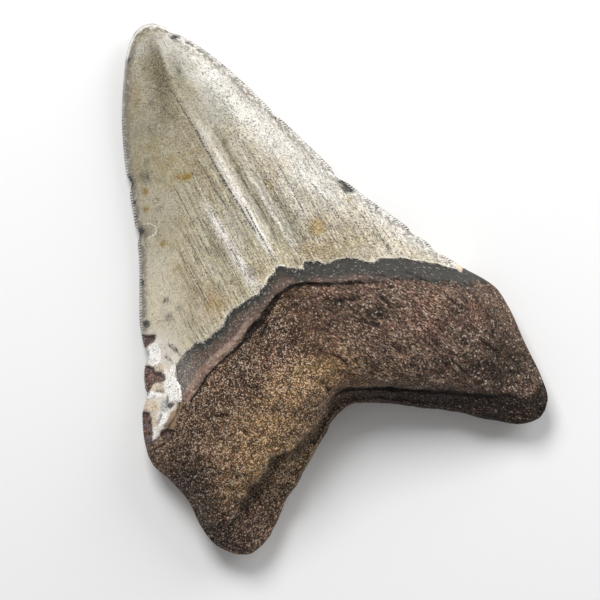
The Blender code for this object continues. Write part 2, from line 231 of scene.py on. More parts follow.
# Long ridges and furrows of the crown: X and Y at the upper end, X and Y at the lower end, half width
# and height.
FLUTES = [
    (-0.3, 38.0, 1.4, 1.0, 1.00, 0.42), (2.4, 32.0, 3.9, 3.0, 0.70, -0.34),
    (4.4, 25.0, 6.4, -1.0, 0.60, 0.20), (6.6, 20.0, 8.6, -3.0, 1.10, -0.20),
    (-6.8, 19.5, -4.7, -6.5, 1.30, 0.28), (-3.1, 28.0, -2.4, 2.0, 1.00, -0.16),
    (-9.4, 20.0, -8.0, -4.0, 0.90, -0.16), (-1.6, 45.0, -0.3, 3.0, 0.28, -0.30),
    (3.2, 48.0, 7.5, 30.0, 1.6, -0.22), (10.5, 22.0, 12.6, -2.0, 0.70, 0.12),
    (-12.0, 16.0, -11.0, -4.0, 0.8, 0.10), (15.0, 18.0, 17.4, 0.0, 0.8, -0.12),
]
# Dark bare places, most of them along the cutting edges: X, Y, radius along X, radius along Y.
CHIPS = [
    (-21.8, 18.2, 0.8, 0.6), (23.5, 6.7, 1.6, 2.3), (-18.9, 29.6, 0.9, 1.8), (17.6, 25.2, 0.6, 0.8),
    (13.4, 37.4, 0.5, 0.7), (11.1, 42.6, 0.5, 0.6), (4.4, 53.0, 1.2, 0.8), (31.0, -7.6, 0.7, 1.1),
    (33.2, -12.6, 0.7, 1.0), (-23.6, 2.0, 0.8, 0.5), (-29.9, -0.6, 1.0, 0.9), (-7.6, 53.0, 0.9, 0.7),
    (-20.2, 24.6, 0.6, 0.5), (27.2, -0.2, 0.6, 0.9), (6.6, 50.4, 0.6, 0.5), (-26.8, 8.0, 0.7, 0.8),
    (-16.8, 38.4, 0.5, 0.9), (-16.2, 40.4, 0.5, 0.6), (-22.8, 18.0, 0.7, 0.6), (-21.6, 21.6, 0.5, 0.5),
    (36.4, -18.6, 0.8, 0.6),
]
# Stains and painted shade and light, by the name of their mark: X, Y, radius along X, radius along Y and the
# strength, where it isn't 1. The root's are gold, red and a dark mark that is mostly painted shade under the
# bourlette's lip, along the crease and at the outline, with some dark patches. The enamel's are the others;
# the olive one is partly a painted dark reflection at the tip and the one by the lower right edge partly a
# painted highlight.
STAINS = {
    "ochre": [
        (13.4, 1.3, 1.9, 1.9, 1.0), (-7.2, 23.9, 1.4, 0.8, 0.8), (-17.0, 25.5, 0.8, 0.8, 0.7),
        (-18.6, 22.0, 0.9, 0.7, 0.7), (-12.6, 41.5, 1.3, 1.5, 0.3), (-11.6, 34.0, 1.2, 0.6, 0.4),
        (-18.4, 6.9, 2.2, 1.6, 0.3), (13.5, 17.5, 2.4, 2.4, 0.3), (8.2, 14.0, 1.6, 1.8, 0.35),
        (-14.1, -3.6, 3.4, 2.4, 0.35), (12.0, -3.4, 5.0, 1.6, 0.2), (22.2, 3.6, 1.0, 0.9, 0.5),
        (-16.6, 12.4, 2.6, 2.2, 0.25), (-18.0, 36.0, 1.0, 2.4, 0.4), (20.6, -5.6, 3.4, 1.8, 0.25),
        (8.6, -1.6, 1.6, 1.2, 0.3), (-9.0, 25.0, 1.0, 0.8, 0.5), (-18.7, 13.5, 0.9, 0.7, 0.5),
        (-13.0, 47.0, 0.8, 1.0, 0.5),
    ],
    "grey": [
        (-15.5, 28.4, 1.0, 1.3, 1.7), (-4.2, -1.1, 0.9, 1.6, 1.4), (-21.8, -0.8, 0.7, 0.7),
        (15.7, 0.1, 0.6, 0.6), (1.8, 45.5, 0.6, 0.6), (5.0, 38.7, 0.7, 0.6), (8.1, 36.1, 0.4, 0.4),
        (-6.8, 42.2, 0.9, 0.5), (13.2, 21.3, 1.6, 0.6), (-9.6, 36.8, 0.5, 0.9), (-4.2, -5.0, 0.8, 0.7),
        (5.3, 52.2, 1.3, 1.0), (-4.9, 40.0, 0.6, 0.4), (-13.6, 31.0, 0.7, 0.5), (3.5, 27.0, 0.8, 0.7),
        (-24.6, -1.6, 1.2, 0.9), (6.7, 34.8, 2.2, 4.6, 0.4), (2.4, 46.4, 1.6, 3.0, 0.4),
        (17.0, -0.6, 0.6, 0.6), (10.0, 5.2, 0.5, 0.5), (-1.4, 24.0, 0.6, 0.4),
    ],
    "gold": [
        (-6.5, -28.0, 5.0, 5.0, 0.9), (5.0, -28.5, 5.0, 3.5), (-15.4, -33.0, 6.5, 6.0),
        (-12.0, -41.0, 5.5, 5.0), (-20.5, -38.5, 6.0, 7.0), (-30.0, -44.0, 5.0, 5.0),
        (-2.0, -27.0, 4.0, 4.0), (9.0, -33.5, 7.0, 3.0),
    ],
    "red": [
        (-32.7, -47.5, 6.0, 5.0), (25.8, -27.0, 4.0, 4.6, 0.9), (6.4, -12.2, 2.6, 1.4),
        (9.5, -9.0, 3.5, 1.5, 0.8), (16.5, -12.4, 3.5, 1.5, 0.8), (3.9, -30.4, 1.5, 1.2),
        (15.0, -15.0, 5.0, 1.4, 0.35), (-32.0, -50.0, 6.0, 4.0), (-38.0, -33.0, 2.5, 5.0),
        (-9.5, -20.5, 2.2, 1.6), (-1.0, -22.0, 1.6, 1.2), (35.5, -31.0, 2.2, 3.2), (18.5, -25.5, 1.8, 1.2),
    ],
    # Mostly painted shade, under the bourlette's lip, along the crease and at the outline, with some dark
    # patches.
    "soot": [
        (-32.7, -47.5, 5.0, 4.0, 0.3), (-27.6, -22.0, 4.0, 5.0, 0.5), (-13.0, -15.8, 6.5, 3.2, 0.8),
        (-7.0, -13.6, 5.0, 2.6, 0.55), (-0.5, -11.4, 6.0, 3.0, 0.55), (9.0, -14.4, 4.0, 1.6, 0.4),
        (8.0, -17.5, 6.0, 2.0, 0.5), (34.0, -44.0, 7.0, 5.0, 0.6), (-33.0, -27.0, 4.0, 3.0, 0.5),
        (16.0, -21.0, 4.5, 1.4), (38.5, -38.0, 3.0, 6.0, 0.65), (-37.5, -44.0, 3.6, 8.0),
        (37.7, -45.4, 5.0, 3.0, 0.6), (11.0, -32.0, 3.0, 1.5, 0.6), (17.0, -35.0, 3.0, 1.5, 0.6),
        (23.0, -38.0, 3.0, 1.6, 0.6), (29.0, -41.0, 3.0, 1.8, 0.6), (34.5, -43.0, 5.0, 2.0, 0.5),
        (-0.5, -7.5, 4.0, 2.0, 0.5), (-36.5, -36.0, 4.5, 9.0),
    ],
    # Darkens the middle of the tip: partly olive colour, partly a painted dark reflection.
    "olive": [
        (-0.9, 52.0, 2.0, 3.6, 0.8), (-1.9, 47.2, 2.8, 3.6, 0.9), (-3.4, 42.4, 3.2, 3.6, 0.55),
        (-4.6, 38.0, 3.4, 4.0, 0.4),
    ],
    "yellow": [
        (-7.0, 26.0, 5.5, 5.0), (-11.5, 31.0, 4.0, 5.0, 0.7), (-4.0, 17.0, 2.5, 6.0, 0.4),
        (-17.5, 30.0, 2.4, 6.0, 0.5), (-16.0, -2.0, 4.5, 3.0, 0.9), (-10.5, 44.5, 2.0, 2.6, 0.9),
        (11.0, 4.0, 5.0, 4.0, 0.7), (14.0, -6.0, 7.0, 3.0, 0.7), (12.0, 22.0, 4.0, 3.0, 0.4),
    ],
    "green": [
        (-16.4, 17.0, 3.4, 4.0, 0.4), (11.0, 36.5, 2.0, 4.0, 0.5), (6.6, 3.0, 3.4, 7.0),
        (-12.0, 38.0, 3.0, 4.0, 0.6), (1.0, 30.0, 1.6, 6.0, 0.5), (-22.0, 15.0, 2.6, 4.0, 0.6),
        (-9.0, 5.0, 3.0, 8.0, 0.5), (4.8, 36.0, 2.4, 5.0, 0.9), (2.2, 45.0, 2.2, 4.4, 0.9),
        (5.4, 20.0, 2.0, 7.0), (5.6, 10.0, 3.6, 4.5), (11.6, 7.6, 3.4, 4.0, 0.9),
    ],
    "fair": [
        (-15.2, 21.7, 3.4, 4.0, 0.5), (27.5, -4.5, 3.0, 5.0, 0.7), (21.5, 5.5, 2.4, 5.0, 0.6),
        (24.5, 0.5, 2.5, 4.0, 0.7), (8.0, 28.0, 1.6, 5.0, 0.5), (-8.0, 14.0, 1.6, 5.0, 0.5),
        (-22.0, 11.0, 3.2, 4.0), (-24.0, 2.0, 4.0, 7.0), (-27.5, -5.0, 4.5, 5.0),
        (-6.3, 51.0, 1.2, 4.0, 0.3), (-7.8, 45.0, 1.4, 4.0, 0.3),
    ],
    "rust": [
        (12.4, 34.6, 1.5, 3.0), (15.8, 28.4, 1.2, 3.0), (19.6, 19.0, 1.1, 2.2, 0.7),
        (26.4, 1.6, 1.6, 2.0, 0.6), (22.0, 13.0, 1.4, 1.6), (-18.9, 27.6, 0.9, 1.6),
        (-15.6, 22.6, 0.9, 0.5), (-15.9, 20.6, 0.9, 0.5), (-11.4, 45.4, 0.9, 0.9), (-22.6, 17.0, 1.3, 1.1),
        (9.6, 44.0, 1.0, 1.4, 0.6), (29.6, -5.0, 1.2, 2.0, 0.5),
    ],
    "brown": [
        (-2.5, -1.5, 1.6, 3.0, 0.7), (-2.4, -0.5, 2.0, 1.6, 0.5), (3.6, 11.0, 1.2, 4.0, 0.5),
        (6.5, 9.5, 1.6, 3.0, 0.5), (10.8, 7.3, 2.0, 2.0, 0.5), (3.5, 20.7, 1.0, 4.0, 0.5),
        (1.8, 26.3, 0.8, 3.0, 0.5), (10.6, 37.0, 1.6, 4.0, 0.5), (6.4, 20.0, 1.6, 4.0, 0.5),
        (-3.8, 28.0, 1.8, 6.0, 0.8), (-15.6, -0.6, 3.6, 4.0, 0.9), (-10.0, -4.0, 3.0, 4.0, 0.6),
        (-5.0, 20.0, 1.4, 5.0, 0.5), (-3.0, 36.0, 1.6, 5.0, 0.6), (-19.0, -6.0, 4.0, 2.4, 0.6),
        (-17.6, 33.0, 1.5, 5.0, 0.5), (-9.6, 46.6, 1.6, 2.2, 0.9),
    ],
    "peach": [
        (-12.6, 13.3, 1.6, 4.0, 0.6), (-15.0, -3.5, 3.0, 3.6, 0.9), (-3.3, 21.9, 1.4, 1.6, 0.7),
        (10.1, 19.1, 3.0, 3.0, 0.5), (9.1, -5.1, 3.0, 1.6, 0.5), (10.9, -2.4, 6.0, 2.4, 0.4),
        (18.1, -0.6, 3.0, 3.0, 0.4), (-9.6, 47.0, 1.0, 1.5, 0.5), (-16.4, 6.0, 2.0, 3.0, 0.4),
    ],
    "cool": [(-2.7, 10.0, 2.0, 6.0), (3.4, 34.0, 1.8, 5.0, 0.9), (12.6, 20.7, 2.6, 2.0, 0.7)],
    # By the lower right cutting edge: partly pale flaking, partly a painted highlight.
    "snow": [
        (25.4, 2.4, 1.6, 2.4), (26.9, -2.5, 1.8, 2.6), (28.8, -8.0, 2.0, 2.4, 0.7),
        (31.5, -12.0, 2.0, 1.5, 0.4), (19.8, 12.7, 1.4, 2.4, 0.8),
    ],
}
# Cracks of the root and of the broken corner, where some of the lines are painted shadow lines along folds
# and
# ledges: the two ends, X and Y each, and the half width.
ROOT_CRACKS = [
    (9.4, -14.8, 14.1, -16.4, 0.35), (18.5, -18.4, 19.4, -20.2, 0.3), (19.3, -13.2, 24.4, -17.2, 0.18),
    (25.9, -16.2, 28.3, -18.9, 0.2), (-1.5, -28.9, -0.6, -31.8, 0.3), (40.5, -43.4, 41.5, -45.3, 0.3),
    (3.5, -24.5, 5.2, -27.5, 0.25), (-6.4, -12.2, -8.6, -14.0, 0.35), (22.0, -30.0, 24.2, -35.0, 0.22),
    (31.5, -25.0, 33.0, -29.0, 0.22), (-25.0, -25.6, -22.8, -26.2, 0.25), (12.0, -21.0, 15.2, -23.8, 0.25),
    (-16.0, -22.5, -14.4, -24.4, 0.25), (33.5, -36.5, 35.8, -40.6, 0.22), (26.0, -38.0, 27.6, -42.0, 0.22),
    (-27.4, -6.6, -26.7, -8.4, 0.22), (-26.7, -8.4, -26.2, -10.2, 0.2), (-29.4, -8.8, -28.6, -10.4, 0.22),
    (-34.6, -14.6, -33.4, -15.4, 0.26), (-36.0, -19.6, -37.6, -21.0, 0.26),
    (-36.5, -22.4, -35.3, -24.0, 0.3), (-31.4, -18.9, -32.4, -20.2, 0.24),
    (-33.0, -16.8, -34.0, -18.4, 0.24),
]


# ---------------------------------------------------------------- curves and small formulas


def smooth_curve(points, per_span=16):
    """A centripetal Catmull-Rom curve through the points, as a dense polyline."""
    p = np.array(points, float)
    p = np.vstack([2 * p[0] - p[1], p, 2 * p[-1] - p[-2]])
    knots = np.concatenate([[0], np.cumsum(np.linalg.norm(np.diff(p, axis=0), axis=1) ** 0.5)])
    pieces = []
    for i in range(1, len(p) - 2):
        a, b, c, d = knots[i - 1 : i + 3]
        t = np.linspace(b, c, per_span, endpoint=False)[:, None]
        first = (p[i - 1] * (b - t) + p[i] * (t - a)) / (b - a)
        second = (p[i] * (c - t) + p[i + 1] * (t - b)) / (c - b)
        third = (p[i + 1] * (d - t) + p[i + 2] * (t - c)) / (d - c)
        early = (first * (c - t) + second * (t - a)) / (c - a)
        late = (second * (d - t) + third * (t - b)) / (d - b)
        pieces.append((early * (c - t) + late * (t - b)) / (c - b))
    return np.vstack([*pieces, p[-2:-1]])


def lengths(curve):
    """The way along the curve from its start to each of its points."""
    return np.concatenate([[0], np.cumsum(np.linalg.norm(np.diff(curve, axis=0), axis=1))])


def at_shares(curve, shares):
    """Points of the curve at these shares of its length."""
    run = lengths(curve)
    return np.stack([np.interp(shares * run[-1], run, curve[:, k]) for k in (0, 1)], axis=-1)


def across(line, shares):
    """The line's points at the shares, with its highest point half way."""
    run = lengths(line)
    top = run[np.argmax(line[:, 1])] / run[-1]
    return at_shares(line, np.interp(shares, [0, 0.5, 1], [0, top, 1]))


def share_of_nearest(curve, point):
    """How far along the curve, as a share of its length, its point nearest to this one lies."""
    run = lengths(curve)
    return run[np.argmin(np.linalg.norm(curve - point, axis=1))] / run[-1]


def distance_to(curve, points):
    """Each point's distance to the polyline."""
    start, step = curve[:-1], np.diff(curve, axis=0)
    square = (step**2).sum(axis=1)
    nearest = np.full(len(points), np.inf)
    for a, d, s in zip(start, step, square):
        gap = points - a
        gap -= np.clip(gap @ d / s, 0, 1)[:, None] * d
        nearest = np.minimum(nearest, np.einsum("ij,ij->i", gap, gap))
    return np.sqrt(nearest)


def depth_inside(outline, points):
    """How far each point lies inside the closed outline: negative outside it, and never under -OUTSIDE."""
    ring = np.array([*outline, outline[0]], float)
    depth = np.full(len(points), -OUTSIDE)
    near = ((points > ring.min(axis=0) - OUTSIDE) & (points < ring.max(axis=0) + OUTSIDE)).all(axis=1)
    x, y = points[near].T
    within = np.zeros(len(x), bool)
    for (ax, ay), (bx, by) in zip(ring[:-1], ring[1:]):
        if ay != by:
            within ^= ((ay > y) != (by > y)) & (x < ax + (y - ay) * (bx - ax) / (by - ay))
    depth[near] = np.maximum(np.where(within, 1, -1) * distance_to(ring, points[near]), -OUTSIDE)
    return depth


def ramp(x, low, high):
    """0 below low, 1 above high, with a smooth change between them."""
    t = np.clip((x - low) / (high - low), 0, 1)
    return t * t * (3 - 2 * t)


def bump(x, half_width):
    """1 at x = 0 and falling off to either side as exp(-(x / half_width)^2)."""
    return np.exp(-((x / half_width) ** 2))


def quarter_round(x):
    """The height of a unit quarter circle: 0 at x = 0, 1 from x = 1 on."""
    return np.sqrt(1 - (1 - np.clip(x, 0, 1)) ** 2)


def dome(x, y, centre_x, centre_y, radius_x, radius_y, height=1.0):
    """A round bump over the plane: height * exp(-(dx / radius_x)^2 - (dy / radius_y)^2)."""
    return height * np.exp(-(((x - centre_x) / radius_x) ** 2) - ((y - centre_y) / radius_y) ** 2)


def domes(x, y, places):
    """The sum of the domes listed in places."""
    return sum(dome(x, y, *place) for place in places)


# Odd numbers with well scattered bits: for the seed, for the three axes and for the mixing.
SEED_FACTOR = 0x9E3779B9
AXIS_FACTORS = (0x85EBCA6B, 0xC2B2AE35, 0x27D4EB2F)
MIX_FACTOR = 0x2C1B3C6D
LOW_32_BITS = 0xFFFFFFFF
LOW_16_BITS = 0xFFFF


def scrambled(numbers, seed):
    """A whole number in 0 to 2^32 - 1 for each row of whole numbers, with no order in it."""
    mixed = np.full(len(numbers), SEED_FACTOR * (seed + 1), np.uint64)
    for k, factor in enumerate(AXIS_FACTORS):
        mixed ^= numbers[:, k].astype(np.uint64) * np.uint64(factor)
        mixed ^= mixed >> np.uint64(15)
        mixed *= np.uint64(MIX_FACTOR)
        mixed &= np.uint64(LOW_32_BITS)
        mixed ^= mixed >> np.uint64(13)
    return mixed


def noise(points, seed=0):
    """Gradient noise in space, about -1 to 1 with cells of unit size: at each corner of a point's cell
    a random direction is multiplied into the way from that corner, and the eight products are blended.
    The direction's height comes from the low half of the corner's number, and its turn from the rest."""
    cell = np.floor(points).astype(np.int64)
    inside = points - cell
    fade = inside**3 * (inside * (6 * inside - 15) + 10)
    total = np.zeros(len(points))
    for corner in np.ndindex(2, 2, 2):
        number = scrambled(cell + corner, seed)
        height = (number & np.uint64(LOW_16_BITS)).astype(float) / (LOW_16_BITS / 2) - 1
        turn = (number >> np.uint64(16)).astype(float) * (2 * np.pi / (LOW_16_BITS + 1))
        flat = np.sqrt(1 - height**2)
        way = np.stack([flat * np.cos(turn), flat * np.sin(turn), height], axis=-1)
        product = np.einsum("ij,ij->i", inside - corner, way)
        total += product * np.prod(np.where(corner, fade, 1 - fade), axis=1)
    return 1.6 * total


def wobble(along, step, seed):
    """Noise along a line, one swing in about each step."""
    spots = np.column_stack([along / step, np.full(len(along), 0.5), np.full(len(along), 0.5)])
    return noise(spots, seed)


def ragged(curve, swings, seed):
    """The curve with its inner points moved up and down by noise: each swing is a step and a height."""
    run = lengths(curve)
    ends = ramp(run, 0, 3) * ramp(run[-1] - run, 0, 3)
    lift = sum(height * wobble(run, step, seed + k) for k, (step, height) in enumerate(swings))
    return curve + np.stack([np.zeros(len(run)), lift * ends], axis=-1)


def nibbled(side, curve, inwards):
    """The side's curve with its nicks bitten out of it."""
    depth = sum(d * bump(curve[:, 1] - y, w / 2) for name, y, w, d in NICKS if name == side)
    return curve + np.stack([inwards * depth, np.zeros(len(curve))], axis=-1)


# ---------------------------------------------------------------- the lattice

ROWS = (20, 84, 14, 176)  # in the rim, the root, the bourlette and the crown
FINE = 4  # the cutting edges have this many rows to each row of the crown
STRIP = 8  # columns in the strip along either side
MAIN = 256  # columns between the strips
COLUMNS = MAIN + 2 * STRIP
STRIP_WIDTH = 1.7  # in mm
HALVINGS = (8.0, 33.0)  # heights in mm at which every other column of the crown ends
LABIAL_STEP = 2  # the labial face has every second row and column
PITCH = 0.62  # in mm, from one serration to the next
BITE = 0.32  # in mm, the depth of a serration


class Plan:
    """The plan view, ruled by five lines from side to side with a Coons patch in each band between them.

    In a band, a point is the blend of the two lines at its share across, plus what the outline at either
    end departs from the straight chord, fading out with the square of the distance to that end.
    """

    def __init__(self):
        sides = [smooth_curve(LEFT_SIDE, 40), smooth_curve(RIGHT_SIDE, 40)]
        self.lines = [
            ragged(smooth_curve(BASAL_EDGE, 30), [(4.0, 0.25), (1.6, 0.12)], 10),
            ragged(smooth_curve(CREASE, 20), [(1.7, 0.22), (0.9, 0.12)], 20),
            ragged(smooth_curve(ROOT_LINE, 40), [(4.0, 0.3), (1.3, 0.18)], 30),
            ragged(smooth_curve(ENAMEL_LINE, 20), [(1.1, 0.2), (0.55, 0.16)], 40),
            smooth_curve(TIP, 30),
        ]
        ends = zip(sides, (0, -1))
        self.stops = [[share_of_nearest(side, line[end]) for line in self.lines] for side, end in ends]
        self.sides = [nibbled("left", sides[0], 1), nibbled("right", sides[1], -1)]

    def outline(self, side, level):
        """Where the side's curve is at these levels."""
        return at_shares(self.sides[side], np.interp(level, np.arange(5), self.stops[side]))

    def strip_share(self, level):
        """The share of a row that a strip of STRIP_WIDTH takes."""
        width = np.linalg.norm(self.outline(1, level) - self.outline(0, level), axis=-1)
        return STRIP_WIDTH / width

    def share_across(self, level, column):
        """Columns crowd towards the outline within each strip and are even between the strips."""
        strip = self.strip_share(level)
        near = np.minimum(column, COLUMNS - column)
        outer = strip * (np.minimum(near, STRIP) / STRIP) ** 1.6
        inner = (0.5 - strip) * np.maximum(near - STRIP, 0) / (MAIN / 2)
        share = outer + inner
        return np.where(column > COLUMNS / 2, 1 - share, share)

    def points(self, level, share):
        """The points at these levels and shares across."""
        made = np.empty((len(level), 2))
        band = np.minimum(level.astype(int), 3)
        for k in range(4):
            here = band == k
            t, u = (level[here] - k)[:, None], share[here]
            low, high = self.lines[k], self.lines[k + 1]
            point = (1 - t) * across(low, u) + t * across(high, u)
            u = u[:, None]
            for side, end, weight in ((0, 0, (1 - u) ** 2), (1, -1, u**2)):
                chord = (1 - t) * low[end] + t * high[end]
                point += weight * (self.outline(side, level[here]) - chord)
            made[here] = point
        return made


def row_levels():
    """The level of every row: whole numbers lie on the ruling lines. Rows crowd at the basal edge and
    towards the lines that bound the root and the bourlette."""
    rim, root, bourlette, crown = (np.linspace(0, 1, n + 1) for n in ROWS)
    crown = np.concatenate([[0, 0.002], 0.002 + 0.998 * crown[1:-1] ** 0.985 * (1 - 1 / ROWS[3]), [1]])
    root -= 0.5 * np.sin(2 * np.pi * root) / (2 * np.pi)
    bourlette -= 0.35 * np.sin(2 * np.pi * bourlette) / (2 * np.pi)
    spans = [0.7 * rim**2 + 0.3 * rim, root, bourlette, np.sort(crown)[: ROWS[3] + 1]]
    spans[3][-1] = 1
    return np.concatenate([k + span[(k > 0) :] for k, span in enumerate(spans)])


def cells(grid, below=None, above=None, left=None, right=None):
    """The cells of a grid of vertex numbers as polygons. Where a finer line of numbers runs along a
    border, the cells there take its extra numbers too, so that no edge is left open."""
    rows, columns = grid.shape[0] - 1, grid.shape[1] - 1
    row, column = np.divmod(np.arange(rows * columns), columns)
    kinds = np.stack(
        [
            (row == 0) & (below is not None),
            (column == columns - 1) & (right is not None),
            (row == rows - 1) & (above is not None),
            (column == 0) & (left is not None),
        ],
        axis=-1,
    )
    polygons = []
    for kind in np.unique(kinds, axis=0):
        here = (kinds == kind).all(axis=1)
        r, c = row[here], column[here]
        corners = [grid[r, c], grid[r, c + 1], grid[r + 1, c + 1], grid[r + 1, c]]
        borders = (
            (below, c, columns, 1), (right, r, rows, 1), (above, c, columns, -1), (left, r, rows, -1)
        )
        parts = []
        for corner, wanted, (line, place, count, way) in zip(corners, kind, borders):
            parts.append(corner)
            if wanted:
                times = (len(line) - 1) // count
                parts += [line[place * times + extra] for extra in range(1, times)][::way]
        polygons.append(np.stack(parts, axis=-1))
    return polygons


def lattice(levels, row_heights):
    """All polygons of the closed surface, over numbers that name a side of the tooth, a fine row and a
    column. From the enamel's edge on, the lingual and the labial face each have a block between the strips
    for every stretch of the crown, and one strip of fine rows along either side."""
    width = COLUMNS + 1
    labial = FINE * len(levels) * width

    def numbers(rows, columns, offset=0):
        """The labial face's numbers, except on the outline, which both faces share."""
        rows, columns = np.meshgrid(rows, columns, indexing="ij")
        shared = (rows == 0) | (rows == last) | (columns == 0) | (columns == COLUMNS)
        return rows * width + columns + np.where(shared, 0, offset)

    last = FINE * (len(levels) - 1)
    enamel = sum(ROWS[:3])
    halved = [int(np.searchsorted(row_heights, height)) // 2 * 2 + enamel % 2 for height in HALVINGS]
    stops = [enamel, *halved, len(levels) - 1]
    left, right = STRIP, COLUMNS - STRIP
    polygons = []
    for offset, step in ((0, 1), (labial, LABIAL_STEP)):
        made = []
        outer_rows = np.arange(0, enamel + 1, step) * FINE
        every = np.arange(0, COLUMNS + 1)
        fine_root = np.arange(0, enamel + 1) * FINE
        borders = {}
        if offset:
            borders = {
                "below": numbers([0], every)[0],
                "left": numbers(fine_root, [0])[:, 0],
                "right": numbers(fine_root, [COLUMNS])[:, 0],
            }
        made += cells(numbers(outer_rows, every[::step], offset), **borders)
        for k in range(3):
            rows = np.arange(stops[k], stops[k + 1] + 1, step) * FINE
            columns = np.arange(left, right + 1, step * 2**k)
            fine_rows = np.arange(rows[0], rows[-1] + 1)
            borders = {
                "left": numbers(fine_rows, [left], offset)[:, 0],
                "right": numbers(fine_rows, [right], offset)[:, 0],
            }
            if k:
                finer = np.arange(left, right + 1, step * 2 ** (k - 1))
                borders["below"] = numbers([rows[0]], finer, offset)[0]
            if offset and k == 2:
                borders["above"] = numbers([rows[-1]], np.arange(left, right + 1, 4), offset)[0]
            made += cells(numbers(rows, columns, offset), **borders)
        fine_rows = np.arange(enamel * FINE, last + 1)
        for start in (0, right):
            columns = np.arange(start, start + STRIP + 1, step)
            above = numbers([last], np.arange(start, start + STRIP + 1), offset)[0] if offset else None
            made += cells(numbers(fine_rows, columns, offset), above=above)
        polygons += [polygon[:, ::-1] for polygon in made] if offset else made
    return polygons, labial, width


# ---------------------------------------------------------------- heights and marks


def measured(plan, level, share, points):
    """How far each point lies from the lines that shape the tooth. The signed distances are positive
    towards the tip, and FAR_OFF away from their line. With the distances to the left, the right and the
    basal outline, lens is left * right / (left + right) and inside is
    1 / sqrt(1 / left^2 + 1 / right^2 + 1 / base^2)."""
    x, y = points.T
    on_outline = (level == 0) | (level == 4) | (share == 0) | (share == 1)
    outlines = {"left": LEFT_SIDE + TIP[1:3], "right": RIGHT_SIDE + TIP[-2:1:-1], "base": BASAL_EDGE}
    far = {name: distance_to(smooth_curve(line, 8), points) for name, line in outlines.items()}
    tiny = 1e-6
    left, right, base = (far[name] + tiny for name in ("left", "right", "base"))
    far["lens"] = np.where(on_outline, 0, left * right / (left + right))
    far["inside"] = np.where(on_outline, 0, (left**-2 + right**-2 + base**-2) ** -0.5)
    for name, line, at in (("crease", 1, 1), ("root_line", 2, 2), ("enamel", 3, 3)):
        near = (level > at - 1.1) & (level < at + (1.1 if at < 3 else 0.3))
        signed = np.where(level < at, -FAR_OFF, FAR_OFF)
        signed[near] = distance_to(plan.lines[line][::2], points[near]) * np.where(level[near] < at, -1, 1)
        far[name] = signed
    curve = smooth_curve(LABIAL_ENAMEL_LINE, 12)
    mean_slant = 0.97  # the line's distance for each mm of height over it
    far["labial_enamel"] = (y - np.interp(x, curve[:, 0], curve[:, 1])) * mean_slant
    return far


def root_relief(shape, share, far):
    """The relief along the root's two lines: the wall and groove of the crease over the basal rim, and
    the lip of the bourlette with the groove that runs below it."""
    left_arm = 1 - ramp(share, 0.36, 0.46)
    here = ramp(share, 0.02, 0.16) * (1 - 0.6 * ramp(share, 0.6, 0.85)) * (1 - ramp(share, 0.85, 0.99))
    here *= ramp(far["inside"], 0.0, 1.6)
    wall = 1 - ramp(far["crease"], -0.5 + 0.1 * left_arm, 2.2 - 1.5 * left_arm)
    hollow = bump(far["crease"] + 0.9, 1.3) * (0.2 + 1.2 * left_arm)
    slit = bump(far["crease"] - 0.05, 0.32) * ramp(share, 0.42, 0.52)
    lip = ramp(share, 0.12, 0.2) * (1 - 0.6 * ramp(share, 0.4, 0.5)) * (1 - ramp(share, 0.62, 0.85))
    edges = ramp(np.minimum(far["left"], far["right"]), 0.0, 1.6)
    groove = bump(far["root_line"] + groove_offset(share), 0.48 - 0.26 * ramp(share, 0.42, 0.5))
    groove *= ramp(share, 0.26, 0.40) * (1 - ramp(share, 0.6, 0.74))
    relief = -here * (shape.crease_drop * wall + 0.8 * hollow + 1.1 * slit)
    groove_depth = 0.75 - 0.4 * ramp(share, 0.44, 0.5)
    return relief + edges * (0.7 * lip * bump(far["root_line"], 0.85) - groove_depth * groove)


def groove_offset(share):
    """How far below the root's line the groove runs: under the lip on the left arm, near the line
    elsewhere."""
    return 1.15 - 0.95 * ramp(share, 0.40, 0.5)


